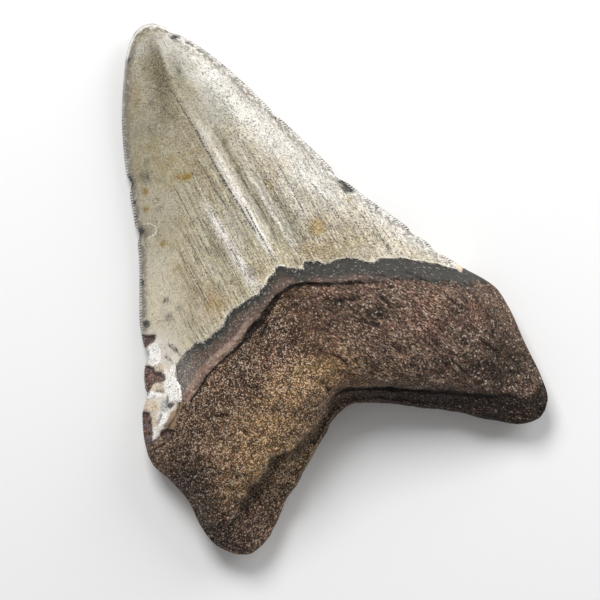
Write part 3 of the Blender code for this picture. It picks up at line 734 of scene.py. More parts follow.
def heights(shape, x, y, level, share, far):
    """The lingual and the labial height of each point.

    The root is a swelling with a quarter-round edge, the crown a lens whose height goes with
    left * right / (left + right), the distances to its two cutting edges, and the change from one to the
    other follows the chevron of the neck. The relief is added on top.
    """
    inside, lens = far["inside"], far["lens"]
    crown_edge = shape.crown_edge + (shape.tip_edge - shape.crown_edge) * ramp(y, 30, 60)
    edge = shape.root_edge + (crown_edge - shape.root_edge) * ramp(y, -34, 4)
    swell = bump(x, 46) * bump(y + 20, 42)
    root_top = shape.root_end_top + (shape.root_top - shape.root_end_top) * swell
    root = (root_top - edge) * quarter_round(inside / shape.root_round)
    slanting = np.hypot(0.53 * (x - 1), 2.5) - 2.5
    above_neck = y + 6 + slanting
    lift = root + (shape.crown_bulge * lens - root) * ramp(above_neck, -9.5, 9.5)

    lift += root_relief(shape, share, far)
    from_edges = ramp(np.minimum(far["left"], far["right"]), 0.0, 1.6)
    lift += shape.enamel_step * from_edges * (level > 3)
    fading = ramp(level, 2.6, 3.02)
    for top_x, top_y, low_x, low_y, half_width, height in FLUTES:
        lean = (top_x - low_x) / (top_y - low_y)
        ends = ramp(y, top_y + 4, top_y - 8) * ramp(y, low_y - 5, low_y + 4)
        lift += height * fading * ends * bump(x - low_x - lean * (y - low_y), half_width)
    lift += ramp(inside, 0, 4) * domes(x, y, SWELLINGS)
    lift -= ramp(inside, 0, 1.2) * domes(x, y, PITS)
    crumble = 0.2 * noise(np.column_stack([x, y, 0 * x]) / 1.0, 71)
    for cx, cy, rx, ry, height in PLATES:
        lift += height * ramp(inside, 0, 0.5) * ramp(dome(x, y, cx, cy, rx, ry) + crumble, 0.3, 0.5)
    points = np.column_stack([x, y])
    for _, height, outline in PATCHES:
        lift += height * ramp(inside, 0, 0.5) * ramp(depth_inside(outline, points) + crumble, -0.15, 0.4)
    chipped = ramp(noise(np.column_stack([x, y, 0 * x]) / 0.9, 73) + 0.3 * crumble, 0.12, 0.4) * (level > 3)
    lift -= 0.32 * chipped * (1 - ramp(far["right"], 0.9, 1.8)) * ramp(inside, 0, 0.3)
    lift -= 0.16 * chipped * (1 - ramp(far["left"], 0.7, 1.3)) * ramp(inside, 0, 0.3)

    drop = edge * quarter_round(inside / 6.0)
    drop += (0.23 * lens - drop) * ramp(y, -24, -4)
    drop -= quarter_round(inside / shape.root_round) * domes(x, y, LABIAL_HOLLOWS)
    labial = np.maximum(edge - drop - 0.1, 0)
    lingual = np.maximum(edge + lift, labial + 0.4 * ramp(inside, 0, 0.5))
    return lingual, labial


def serrated(plan, points, level, column):
    """Moves the points of the crown's outer strips inwards by the serrations, which die out along the
    strip. A serration's depth is a raised cosine of the way along the edge, and their depth varies."""
    near = np.minimum(column, COLUMNS - column)
    in_strip = (near < STRIP) & (level > 3) & (level < 4)
    phase = np.zeros(len(level))
    moved = points.copy()
    for side in (0, 1):
        here = in_strip & ((column > COLUMNS / 2) == bool(side))
        curve = plan.sides[side]
        run = lengths(curve)
        along = np.interp(level[here], np.arange(5), plan.stops[side]) * run[-1]
        step = (at_shares(curve, (along + 0.4) / run[-1]) - at_shares(curve, (along - 0.4) / run[-1])) / 0.8
        step /= np.linalg.norm(step, axis=1)[:, None]
        inwards = np.stack([step[:, 1], -step[:, 0]], axis=-1) * (1 if side == 0 else -1)
        strength = (0.55 + 0.45 * wobble(along, 3.0, 60 + side)) * (1.0 if side == 0 else 0.55)
        ends = ramp(level[here], 3.0, 3.05) * (1 - ramp(level[here], 3.93, 3.98))
        wave = 0.5 - 0.5 * np.cos(2 * np.pi * (along / PITCH + 0.3 * wobble(along, 2.0, 62 + side)))
        fall = 1 - near[here] / STRIP
        moved[here] += inwards * (BITE * wave * strength * ends * fall**2)[:, None]
        phase[here] = wave * ends
    return moved, phase


def grain(points, root, chalk):
    """How far the surface stands out along its normals: on the root noise from 5 mm down to 0.6 mm with
    pores, drawn out along streaks on its right half, steps in the chalky corner, and faint waves on the
    enamel. The finer part of the root's noise comes back too, for the finish, which makes its hollows darker
    and its rises paler."""
    x, y, z = points.T
    streak = np.column_stack([0.88 * x + 0.47 * y, (0.47 * x - 0.88 * y) / 3.0, z])
    rightwards = ramp(x, *TO_THE_RIGHT)
    rough = 0.34 * noise(points / 5.0, 0) + (1 - 0.6 * rightwards) * 0.34 * noise(points / 2.4, 1)
    cavity = 0.7 * noise(points / 1.2, 13) + 0.5 * noise(points / 0.62, 14)
    cavity -= 0.9 * ramp(noise(points / 1.15, 5), 0.3, 0.7)
    cavity *= 1 - 0.45 * rightwards
    cavity += rightwards * (0.9 * noise(streak / 1.4, 11) + 0.5 * noise(streak / 0.7, 12))
    rough += rightwards * 0.3 * noise(streak / 2.2, 15)
    crumbs = 0.24 * np.round(2.4 * noise(points / 1.7, 6)) / 2.4 + 0.14 * noise(points / 0.7, 7)
    smooth = 0.05 * noise(points / 4.5, 8) + 0.012 * noise(points / 1.3, 9)
    offset = smooth + (rough + 0.33 * cavity - 0.35 - smooth) * root
    return offset + (crumbs - 0.12 - offset) * chalk, cavity


def vertex_normals(points, triangles):
    """The area-weighted mean of the normals round each point."""
    a, b, c = (points[triangles[:, k]] for k in range(3))
    facing = np.cross(b - a, c - a)
    total = np.zeros_like(points)
    for k in range(3):
        for axis in range(3):
            total[:, axis] += np.bincount(triangles[:, k], facing[:, axis], len(points))
    return total / np.maximum(np.linalg.norm(total, axis=1), 1e-12)[:, None]


def fan(polygons):
    """Triangles that share each polygon's first corner, only for working out normals."""
    return np.concatenate([p[:, [0, k, k + 1]] for p in polygons for k in range(1, p.shape[1] - 1)])


def tooth_surface(shape):
    """Every point, polygon and mark of the tooth."""
    plan = Plan()
    levels = row_levels()
    middle_heights = plan.points(levels, np.full(len(levels), 0.5))[:, 1]
    polygons, labial_from, width = lattice(levels, middle_heights)
    numbers, index = np.unique(np.concatenate([p.ravel() for p in polygons]), return_inverse=True)
    sizes = np.cumsum([0] + [p.size for p in polygons])
    polygons = [index[a:b].reshape(p.shape) for a, b, p in zip(sizes[:-1], sizes[1:], polygons)]

    labial = numbers >= labial_from
    row, column = np.divmod(numbers - np.where(labial, labial_from, 0), width)
    level = np.interp(row / FINE, np.arange(len(levels)), levels)
    share = plan.share_across(level, column)
    flat = plan.points(level, share)
    far = measured(plan, level, share, flat)
    x, y = flat.T
    lingual_height, labial_height = heights(shape, x, y, level, share, far)
    moved, tick = serrated(plan, flat, level, column)
    near = np.minimum(far["left"], far["right"])
    lingual_height -= 0.10 * tick * (level > 3) * (1 - ramp(near, 0.6, 1.7)) * ramp(near, 0.02, 0.3)
    points = np.column_stack([moved, np.where(labial, labial_height, lingual_height)])

    crumble = noise(points / 1.6, 70) * 0.3 + noise(points / 0.7, 72) * 0.16

    corner = np.where(labial, -OUTSIDE, depth_inside(CORNER, flat))
    chalk = ramp(corner, -1.0, 0.6) * (level > 2.6)
    seams = 0
    for ax, ay, bx, by, half_width in ROOT_CRACKS:
        seams += bump(distance_to(np.array([[ax, ay], [bx, by]]), flat), half_width)
    seams = np.clip(seams * (1.2 + 2.5 * crumble), 0, 1) * ~labial
    enamel = np.where(labial, far["labial_enamel"], np.where(level == 3, 0, far["enamel"]))
    bourlette = (level > 2) & (level < 3) & ~labial
    root = np.where(labial, ramp(-far["labial_enamel"], 0, 0.8), 1 - ramp(level, 1.98, 2.04))
    root = np.maximum(root, 0.15 * bourlette)
    triangles = fan(polygons)
    normals = vertex_normals(points, triangles)
    resting = labial & (labial_height <= 0)
    inside = far["inside"]
    offset, cavity = grain(points, root * ramp(inside, 0.0, 0.25), chalk * ramp(inside, 0.0, 0.5))
    offset -= 0.35 * seams
    grained = points + normals * offset[:, None]
    grained[:, 2] = np.where(resting, np.maximum(points[:, 2], 0), np.maximum(grained[:, 2], 0))
    grained = np.clip(grained, CAD_LOW, CAD_HIGH)
    # The sheen mark: a band along the right cutting edge that gets the clear coat and, in the finish, a
    # painted highlight.
    broad_sheen = (1 - ramp(far["right"], 4.5, 10.0)) * ramp(y, -6, 14) * (1 - ramp(y, 53, 58))
    narrow_sheen = (1 - ramp(far["right"], 1.6, 4.4)) * ramp(y, -24, -10) * (1 - ramp(y, 48, 54))
    marks = {
        "enamel": enamel,
        "root_line": np.where(labial, -FAR_OFF, far["root_line"]),
        "groove": np.where(labial, FAR_OFF, far["root_line"] + groove_offset(share)),
        "crease": np.where(labial, FAR_OFF, far["crease"]),
        "edge": np.where(level > 3, near, FAR_OFF),
        "tick": tick,
        "share": share,
        "cavity": cavity,
        "fluting": fluting(x, y) * ~labial,
        "corner": corner,
        "chips": ramp(domes(x, y, CHIPS) + crumble, 0.38, 0.5) * ~labial,
        "sheen": np.maximum(broad_sheen, narrow_sheen) * ~labial,
        "seams": seams,
        "labial": labial.astype(float),
    }
    for name in ("chalk", "cream", "tan", "slate", "bare", "dark", "flake"):
        depths = [depth_inside(outline, flat) for kind, _, outline in PATCHES if kind == name]
        marks[name] = np.where(labial, -OUTSIDE, np.max(depths, axis=0))
    for name, places in STAINS.items():
        marks[name] = np.minimum(domes(x, y, places), 1) * ~labial
    return grained * MM, polygons, marks


def fluting(x, y):
    """The crown's ridges as positive and its furrows as negative shares, for the finish, which paints the
    ridges paler, partly as a painted highlight, and the furrows darker, partly as painted shade.
    """
    total = np.zeros(len(x))
    for top_x, top_y, low_x, low_y, half_width, height in FLUTES:
        ends = ramp(y, top_y + 6, top_y - 10) * ramp(y, low_y - 5, low_y + 4)
        line = low_x + (top_x - low_x) / (top_y - low_y) * (y - low_y)
        strength = min(1, abs(height) * 3.2) * (half_width > 0.3)
        total += np.sign(height) * strength * ends * bump(x - line, half_width * 1.1)
    return total


def mesh_of(name, points, polygons):
    """A smooth-shaded mesh from arrays of polygons of several sizes."""
    mesh = bpy.data.meshes.new(name)
    corners = np.concatenate([p.ravel() for p in polygons]).astype(np.int32)
    counts = np.concatenate([np.full(len(p), p.shape[1]) for p in polygons]).astype(np.int32)
    mesh.vertices.add(len(points))
    mesh.vertices.foreach_set("co", points.astype(np.float32).ravel())
    mesh.loops.add(len(corners))
    mesh.loops.foreach_set("vertex_index", corners)
    mesh.polygons.add(len(counts))
    mesh.polygons.foreach_set("loop_start", np.concatenate([[0], np.cumsum(counts)[:-1]]).astype(np.int32))
    mesh.update(calc_edges=True)
    mesh.validate()
    mesh.shade_smooth()
    return mesh


def add_marks(mesh, marks):
    """Puts the marks on the mesh's points, where the material reads them."""
    for name, values in marks.items():
        layer = mesh.attributes.new(name, "FLOAT", "POINT")
        layer.data.foreach_set("value", np.asarray(values, np.float32))


# ---------------------------------------------------------------- the finish


class Recipe:
    """Adds nodes to a material, so that a pattern is written as formulas. A value is the output of a
    node, a plain number or the name of one of the colours."""

    def __init__(self, name, colours=()):
        self.colours = colours
        self.material = bpy.data.materials.new(name)
        self.material.use_nodes = True
        self.tree = self.material.node_tree
        self.shader = self.tree.nodes["Principled BSDF"]

    def add(self, kind, inputs=(), **settings):
        """A new node with these inputs and settings."""
        node = self.tree.nodes.new(kind)
        for name, value in settings.items():
            setattr(node, name, value)
        for socket, value in dict(inputs).items():
            self.feed(node.inputs[socket], value)
        return node

    def feed(self, socket, value):
        """Links the socket to a node's output, or sets the number or the colour that it holds."""
        if isinstance(value, bpy.types.NodeSocket):
            self.tree.links.new(value, socket)
        elif isinstance(value, str):
            socket.default_value = self.colours[value]
        else:
            socket.default_value = value

    def mark(self, name):
        """One of the marks that the mesh carries."""
        return self.add("ShaderNodeAttribute", attribute_name=name).outputs["Fac"]

    def maths(self, operation, *values, clamp=False):
        """One operation on numbers."""
        inputs = dict(enumerate(values))
        return self.add("ShaderNodeMath", inputs, operation=operation, use_clamp=clamp).outputs[0]

    def over(self, operation, first, *others):
        """The operation carried on from each value to the next."""
        for other in others:
            first = self.maths(operation, first, other)
        return first

    def times(self, *values):
        return self.over("MULTIPLY", *values)

    def plus(self, *values):
        return self.over("ADD", *values)

    def largest(self, *values):
        return self.over("MAXIMUM", *values)

    def minus(self, first, second):
        return self.maths("SUBTRACT", first, second)

    def size(self, value):
        return self.maths("ABSOLUTE", value)

    def scaled(self, value, factor, offset, clamp=False):
        """value * factor + offset"""
        return self.maths("MULTIPLY_ADD", value, factor, offset, clamp=clamp)

    def step(self, value, low, high, out_low=0.0, out_high=1.0):
        """A smooth step of the value from low to high."""
        inputs = {"Value": value, "From Min": low, "From Max": high, "To Min": out_low, "To Max": out_high}
        return self.add("ShaderNodeMapRange", inputs, interpolation_type="SMOOTHSTEP").outputs[0]

    def mix(self, share, first, second, blend="MIX"):
        """The second colour over the first one."""
        node = self.add("ShaderNodeMix", data_type="RGBA", blend_type=blend)
        for socket, value in zip((0, 6, 7), (share, first, second)):
            self.feed(node.inputs[socket], value)
        return node.outputs[2]

    def painted(self, base, layers):
        """The base under layers of colour, laid on in order: each is a share and a colour."""
        for share, colour in layers:
            base = self.mix(share, base, colour)
        return base

    def blend(self, share, first, second):
        """The same mix for plain numbers."""
        node = self.add("ShaderNodeMix", data_type="FLOAT")
        for socket, value in zip((0, 2, 3), (share, first, second)):
            self.feed(node.inputs[socket], value)
        return node.outputs[0]

    def stretched(self, vector, x, y, z):
        """The place multiplied axis by axis, which draws a pattern out along the axes with small factors."""
        inputs = {0: vector, 1: (x, y, z)}
        return self.add("ShaderNodeVectorMath", inputs, operation="MULTIPLY").outputs[0]

    def turned(self, vector, angle):
        """The place turned about Z."""
        inputs = {"Vector": vector, "Angle": angle}
        return self.add("ShaderNodeVectorRotate", inputs, rotation_type="Z_AXIS").outputs[0]

    def noise(self, vector, scale, detail=2.0, roughness=0.5):
        """Soft random patches about 1 / scale wide, from 0 to 1 and mostly near 0.5."""
        inputs = {"Vector": vector, "Scale": scale, "Detail": detail, "Roughness": roughness}
        return self.add("ShaderNodeTexNoise", inputs).outputs["Fac"]

    def cells(self, vector, scale):
        """The distance to the middle of the nearest of many scattered cells."""
        return self.add("ShaderNodeTexVoronoi", {"Vector": vector, "Scale": scale}).outputs["Distance"]

    def cell_colours(self, vector, scale):
        """A random colour for each of the cells."""
        return self.add("ShaderNodeTexVoronoi", {"Vector": vector, "Scale": scale}).outputs["Color"]

    def one_channel(self, colour):
        """The colour's red channel as a number."""
        return self.add("ShaderNodeSeparateColor", {0: colour}).outputs[0]


def rgb(red, green, blue):
    """A colour given in display values from 0 to 255, as the linear values that a shader takes."""
    shown = np.array([red, green, blue]) / 255
    linear = np.where(shown <= 0.04045, shown / 12.92, ((shown + 0.055) / 1.055) ** 2.4)
    return (*(float(v) for v in linear), 1.0)


# Dark cracks down the crown: X and Y at the upper end, X and Y at the lower end, half width.
HAIRLINES = [
    (-2.1, 46.0, -1.5, 38.0, 0.07), (-1.6, 42.0, -0.9, 30.0, 0.10), (-1.0, 34.0, -0.5, 17.0, 0.12),
    (-0.6, 22.0, 0.6, 6.0, 0.11), (3.0, 21.0, 4.3, 7.0, 0.09), (-3.4, 27.0, -2.8, 15.0, 0.08),
    (-6.6, 22.0, -6.4, 19.0, 0.10), (11.8, 18.0, 12.0, 4.0, 0.07), (16.2, 11.5, 18.2, 3.0, 0.08),
    (24.4, -3.0, 24.9, -12.0, 0.10), (20.8, 1.6, 21.8, -9.0, 0.09), (17.6, 4.4, 19.8, -3.0, 0.09),
    (1.1, 12.5, 1.5, -2.0, 0.10), (-10.6, 23.0, -10.6, 6.0, 0.06), (-13.4, 14.0, -12.4, -3.0, 0.06),
    (-8.4, 15.0, -7.2, -3.0, 0.06), (8.0, 16.0, 9.6, -3.0, 0.06), (-27.0, -6.2, -26.3, -10.0, 0.09),
    (-29.6, -8.6, -28.0, -11.2, 0.08), (14.6, 5.0, 15.4, -6.0, 0.06), (-16.2, 10.0, -15.6, -4.0, 0.06),
    (7.0, 26.0, 8.4, 17.0, 0.06), (22.8, 0.4, 23.8, -7.0, 0.07), (27.2, -6.0, 28.2, -12.0, 0.07),
]
# The enamel's clouds: the mark that carries them, their colour and their share of it. The last, by the lower
# right cutting edge, is partly pale flaking and partly a painted highlight.
CLOUDS = [
    ("fair", "pale", 0.6), ("yellow", "yellow", 0.6), ("green", "green", 0.75), ("brown", "stain", 0.8),
    ("peach", "peach", 0.7), ("cool", "grey", 0.8), ("snow", "ridge", 0.95),
]


def hairlines(r, x, y):
    """The listed cracks, each a thin dark line that wavers a little and breaks up into dots."""
    across_and_up = r.add("ShaderNodeCombineXYZ", {"X": r.times(x, 0.4), "Y": y}).outputs[0]
    wander = r.scaled(r.noise(across_and_up, 0.30, 3.0), 0.6, -0.3)
    beads = r.maths("SINE", r.scaled(y, 9.4, r.times(r.noise(across_and_up, 0.9, 2.0), 14.0)))
    broken = r.step(r.noise(across_and_up, 1.1, 1.0), 0.34, 0.44)
    dots = r.times(r.step(beads, -0.6, 0.3, 0.15, 1.0), broken)
    cracks = []
    for top_x, top_y, low_x, low_y, half_width in HAIRLINES:
        lean = (top_x - low_x) / (top_y - low_y)
        line = r.plus(r.scaled(y, lean, low_x - lean * low_y), wander)
        gap = r.size(r.minus(x, line))
        ends = r.times(r.step(y, low_y - 0.5, low_y + 1.5), r.step(y, top_y + 0.5, top_y - 1.5))
        cracks.append(r.times(r.step(gap, half_width * 1.9, half_width * 1.35), ends))
    return r.times(r.largest(*cracks), dots)


def shared_patterns(r):
    """What the colours share, by name: the place on the tooth in mm, and the noises, specks and pits."""
    place = r.stretched(r.add("ShaderNodeTexCoord").outputs["Object"], 1 / MM, 1 / MM, 1 / MM)
    axes = r.add("ShaderNodeSeparateXYZ", {0: place}).outputs
    x, y = axes["X"], axes["Y"]
    along_streaks = r.turned(place, STREAK_TURN)
    sandy = r.noise(r.stretched(along_streaks, 1.0, 0.33, 1.0), 3.4, 1.0, 0.6)
    sand = r.blend(r.step(x, *TO_THE_RIGHT), r.noise(place, 3.0, 1.0, 0.6), sandy)
    dusty = r.cell_colours(r.stretched(along_streaks, 1.0, 0.30, 1.0), 6.4)
    dust = r.one_channel(r.mix(r.step(x, *TO_THE_RIGHT), r.cell_colours(place, 4.6), dusty))
    peaks = r.maths("POWER", r.scaled(sand, 3.2, -1.1, clamp=True), 1.5)
    grains = r.scaled(
        r.maths("POWER", dust, r.step(x, *TO_THE_RIGHT, 5.0, 2.5)),
        r.step(x, *TO_THE_RIGHT, 4.8, 2.9),
        r.step(x, *TO_THE_RIGHT, 0.40, 0.26),
    )
    clouds = r.noise(place, 0.11, 3.0)
    mottle = r.noise(place, 0.5, 4.0, 0.6)
    dots = r.step(r.cells(place, 1.1), 0.20, 0.12)
    flecks = r.step(r.cells(place, 1.9), 0.34, 0.22)
    sparse = r.step(r.noise(place, 0.4, 2.0), 0.5, 0.62)
    rightwards = r.times(r.step(x, 0.0, 8.0, 0.0, 0.8), r.step(mottle, 0.42, 0.58, 0.25, 1.0))
    return {
        "place": place,
        "x": x,
        "y": y,
        "clouds": clouds,
        "drift": r.scaled(clouds, 9.0, -4.5),
        "mottle": mottle,
        "fine": r.noise(place, 2.9, 3.0, 0.65),
        "hairs": r.noise(r.stretched(place, 1.0, 0.03, 0.2), 1.15, 2.0, 0.6),
        "sand": sand,
        "dust": dust,
        "specks": r.times(r.scaled(peaks, r.step(x, -6.0, 6.0, 0.7, 0.3), 0.72), grains),
        "grit": r.one_channel(r.cell_colours(place, 3.0)),
        "tint": r.cell_colours(place, 2.4),
        "cracks": hairlines(r, x, y),
        "pits": r.largest(r.times(dots, sparse), r.times(flecks, rightwards)),
    }


def clouded_enamel(r, shared):
    """Olive on the left and at the tip, the tip's dark being partly a painted dark reflection; lighter low
    on the left, partly as painted light; on the right flank a band of painted highlight along the edge, and
    lighter towards the lower corner, partly as painted highlight; with soft stains and clouds.
    """
    x, y, drift, mottle = (shared[key] for key in ("x", "y", "drift", "mottle"))
    blotches = r.noise(shared["place"], 0.22, 4.0, 0.65)
    layers = [
        # Lighter low on the left: partly paler enamel, partly painted light on the lower left of the crown.
        (r.step(r.plus(y, drift), 36.0, 0.0), "enamel_low"),
        # Lighter towards the lower right corner: partly paler enamel, partly a painted highlight.
        (r.step(r.plus(x, drift), -4.0, 13.0), r.mix(r.step(x, 16.0, 27.0), "flank", "flank_low")),
        # Painted highlight: a pale colour on the band of the sheen mark, over the real gloss of the clear
        # coat.
        (r.times(r.mark("sheen"), 0.8), "sheen"),
        (r.step(mottle, 0.46, 0.68, 0.0, 0.40), "stain"),
        (r.step(mottle, 0.44, 0.28, 0.0, 0.34), "pale"),
        (r.step(blotches, 0.50, 0.66, 0.0, 0.45), "olive"),
        (r.step(blotches, 0.47, 0.34, 0.0, 0.40), "grey"),
    ]
    uneven = r.step(mottle, 0.3, 0.62, 0.35, 1.0)
    for cloud, colour, share in CLOUDS:
        layers.append((r.times(r.mark(cloud), r.times(uneven, share)), colour))
    # Darker at the tip, left of the crest: partly olive colour, partly a painted dark reflection.
    crest = r.scaled(y, 0.15, -7.4)
    left_of_crest = r.step(r.minus(r.plus(x, r.times(mottle, 0.8)), crest), 0.9, -0.3)
    layers.append((r.times(r.mark("olive"), left_of_crest, 0.92), "tip"))
    return r.painted("enamel", layers)


def streaked_enamel(r, tone, shared):
    """Dark and pale streaks, ridges, furrows and hair cracks, which run along the lower crown."""
    x, y, place = (shared[key] for key in ("x", "y", "place"))
    slanting = r.plus(r.scaled(y, -0.39, x), shared["drift"])
    lower = r.times(r.step(y, 40.0, 14.0, 0.12, 1.0), r.step(slanting, -24.0, -17.0, 0.12, 1.0))
    streaks = r.noise(r.stretched(place, 1.0, 0.03, 0.3), 2.1, 3.0, 0.7)
    fluting = r.mark("fluting")
    uneven = r.step(r.noise(r.stretched(place, 1.0, 0.3, 1.0), 0.8, 3.0), 0.3, 0.6, 0.35, 1.0)
    uneven = r.times(uneven, r.step(y, 32.0, 15.0, 0.45, 1.0))
    dotted = r.step(r.noise(r.stretched(place, 1.0, 0.8, 1.0), 3.6, 1.0), 0.44, 0.50)
    finer_hairs = r.noise(r.stretched(place, 1.0, 0.06, 0.2), 2.28, 2.0, 0.6)
    found = []
    for hairs, share in ((shared["hairs"], 0.9), (finer_hairs, 0.8)):
        near_line = r.step(r.size(r.minus(hairs, 0.5)), 0.022, 0.006)
        found.append(r.times(near_line, r.times(dotted, share)))
    return r.painted(tone, [
        (r.times(lower, r.step(streaks, 0.49, 0.64, 0.0, 0.50)), "streak"),
        (r.times(lower, r.step(streaks, 0.51, 0.38, 0.0, 0.50)), "pale"),
        # Ridges paler, partly as a painted highlight, and furrows darker, partly as painted shade.
        (r.times(r.step(fluting, 0.05, 0.9, 0.0, 0.9), uneven), "ridge"),
        (r.times(r.step(fluting, -0.05, -1.0, 0.0, 0.78), uneven), "furrow"),
        (r.times(lower, r.largest(*found)), "crack"),
    ])


def spotted_enamel(r, tone, shared):
    """Ochre, rusty and grey spots, pepper, pits and cracks, and the hollow of a lost flake on the left."""
    x, mottle, fine = (shared[key] for key in ("x", "mottle", "fine"))
    tone = r.painted(tone, [
        (r.step(r.scaled(fine, 0.5, r.plus(r.mark("ochre"), -0.25)), 0.05, 0.65, 0.0, 0.95), "ochre"),
        (r.step(r.times(r.mark("rust"), r.step(fine, 0.40, 0.56)), 0.1, 0.6, 0.0, 0.8), "rust"),
        (r.times(r.mark("grey"), r.step(fine, 0.3, 0.6, 0.4, 0.85)), "crack"),
        (r.step(fine, 0.52, 0.66, 0.0, 0.42), "streak"),
        (r.step(fine, 0.48, 0.34, 0.0, 0.30), "pale"),
    ])
    pepper = r.times(r.maths("POWER", shared["dust"], 3.0), r.step(x, -18.0, 8.0, 0.45, 1.0))
    tone = r.mix(1.0, tone, r.minus(r.step(x, -6.0, 8.0, 1.08, 1.14), pepper), "MULTIPLY")
    flake = r.scaled(fine, 0.4, r.plus(r.mark("flake"), -0.2))
    outline = r.times(r.step(r.size(flake), 0.2, 0.06), r.step(mottle, 0.36, 0.52, 0.6, 1.0))
    return r.painted(tone, [
        (r.times(shared["pits"], 0.85), "line"),
        (shared["cracks"], "line"),
        (r.times(r.step(flake, 0.0, 0.1), r.step(x, -20.0, -21.4, 0.15, 0.95)), "chip_warm"),
        (
            r.times(outline, r.step(fine, 0.58, 0.48, 0.1, 0.85)),
            r.mix(r.step(x, -21.6, -20.6), "chip", "chalk"),
        ),
    ])


def worn_enamel(r, tone, shared):
    """A worn strip along the cutting edges, with chips; painted shade on the left rim, which faces away from
    the light; pale flecks on the rim, partly painted glints; at each serration a pale bead of painted glint
    and a dark tick of painted shade; and a thin line of painted shade along the outline.
    """
    mottle, fine = (shared[key] for key in ("mottle", "fine"))
    edge = r.mark("edge")
    tick = r.mark("tick")
    right = r.step(shared["x"], -4.0, 6.0)
    rim = r.step(r.scaled(mottle, 2.0, edge), 3.4, 2.0)
    chipped = r.noise(shared["place"], 0.9, 3.0, 0.65)
    dark = r.times(r.step(chipped, 0.48, 0.57), r.step(right, 0.0, 1.0, 0.45, 0.85))
    light = r.times(r.step(chipped, 0.47, 0.41), r.step(right, 0.0, 1.0, 0.3, 0.6))
    ticks = r.times(tick, r.step(edge, 0.9, 0.2, 0.0, 0.8), r.step(right, 0.0, 1.0, 1.0, 0.5))
    return r.painted(tone, [
        # Painted shade on the left rim, which faces away from the light.
        (r.times(rim, r.step(right, 0.0, 1.0, 0.9, 0.0)), "left_rim_shade"),
        (r.times(rim, dark), r.mix(r.step(fine, 0.42, 0.58, 0.0, 0.6), "rim", "rust")),
        # Pale flecks on the rim: partly painted glints.
        (r.times(rim, light), "ridge"),
        (r.times(r.mark("chips"), r.step(fine, 0.28, 0.55, 0.6, 0.95)), "chip"),
        # Painted glints on the serrations, and painted shade in their notches.
        (r.times(r.step(edge, 0.8, 0.35), r.step(tick, 0.55, 0.15), 0.9), "chalk"),
        (r.times(ticks, r.step(mottle, 0.42, 0.56, 0.2, 1.0)), "chip"),
        # Painted shade along the outline, where the edge bevels away.
        (r.step(edge, 0.3, 0.12, 0.0, 0.4), "rim"),
    ])


def bourlette_colour(r, shared):
    """Blue grey next to the enamel, brown and granular below it, with a tan lip on the left arm. The lip's
    share and the uneven distance from the root's line come back too."""
    x, mottle, fine, grit = (shared[key] for key in ("x", "mottle", "fine", "grit"))
    from_enamel = r.plus(r.mark("enamel"), r.scaled(mottle, 3.0, -1.5), r.step(x, 1.0, 8.0, -0.5, 1.7))
    edged = r.scaled(fine, 1.4, r.plus(r.mark("root_line"), -0.7))
    band = r.painted("bourlette", [
        (r.times(r.step(from_enamel, -1.2, -2.6), r.step(x, 27.0, 20.0)), "bourlette_warm"),
        (r.step(x, -21.0, -28.0, 0.0, 0.35), "bourlette_light"),
        (r.times(r.mark("red"), r.step(edged, 1.8, 0.9, 0.0, 0.45)), "root_red"),
    ])
    band = r.painted(r.mix(0.5, band, r.mix(1.0, band, shared["specks"], "MULTIPLY")), [
        (r.step(grit, 0.90, 0.98, 0.0, 0.5), "bourlette_light"),
        (r.step(fine, 0.44, 0.30, 0.0, 0.5), "line"),
        (r.times(r.mark("seams"), 0.85), "line"),
    ])
    share = r.mark("share")
    fraying = r.step(share, 0.56, 0.7, 0.0, 6.0)
    edged = r.scaled(r.minus(mottle, 0.5), fraying, edged)
    lip = r.times(r.step(edged, -1.15, -0.8), r.step(edged, 1.35, 0.9))
    lip = r.times(lip, r.times(r.step(share, 0.13, 0.17), r.step(share, 0.42, 0.33)))
    tan = r.painted("lip", [
        (r.step(mottle, 0.4, 0.6), "lip_pale"),
        (r.step(fine, 0.48, 0.34, 0.0, 0.7), "bourlette_warm"),
        (r.step(grit, 0.86, 0.98, 0.0, 0.35), "ridge"),
    ])
    return r.mix(lip, band, tan), lip, edged


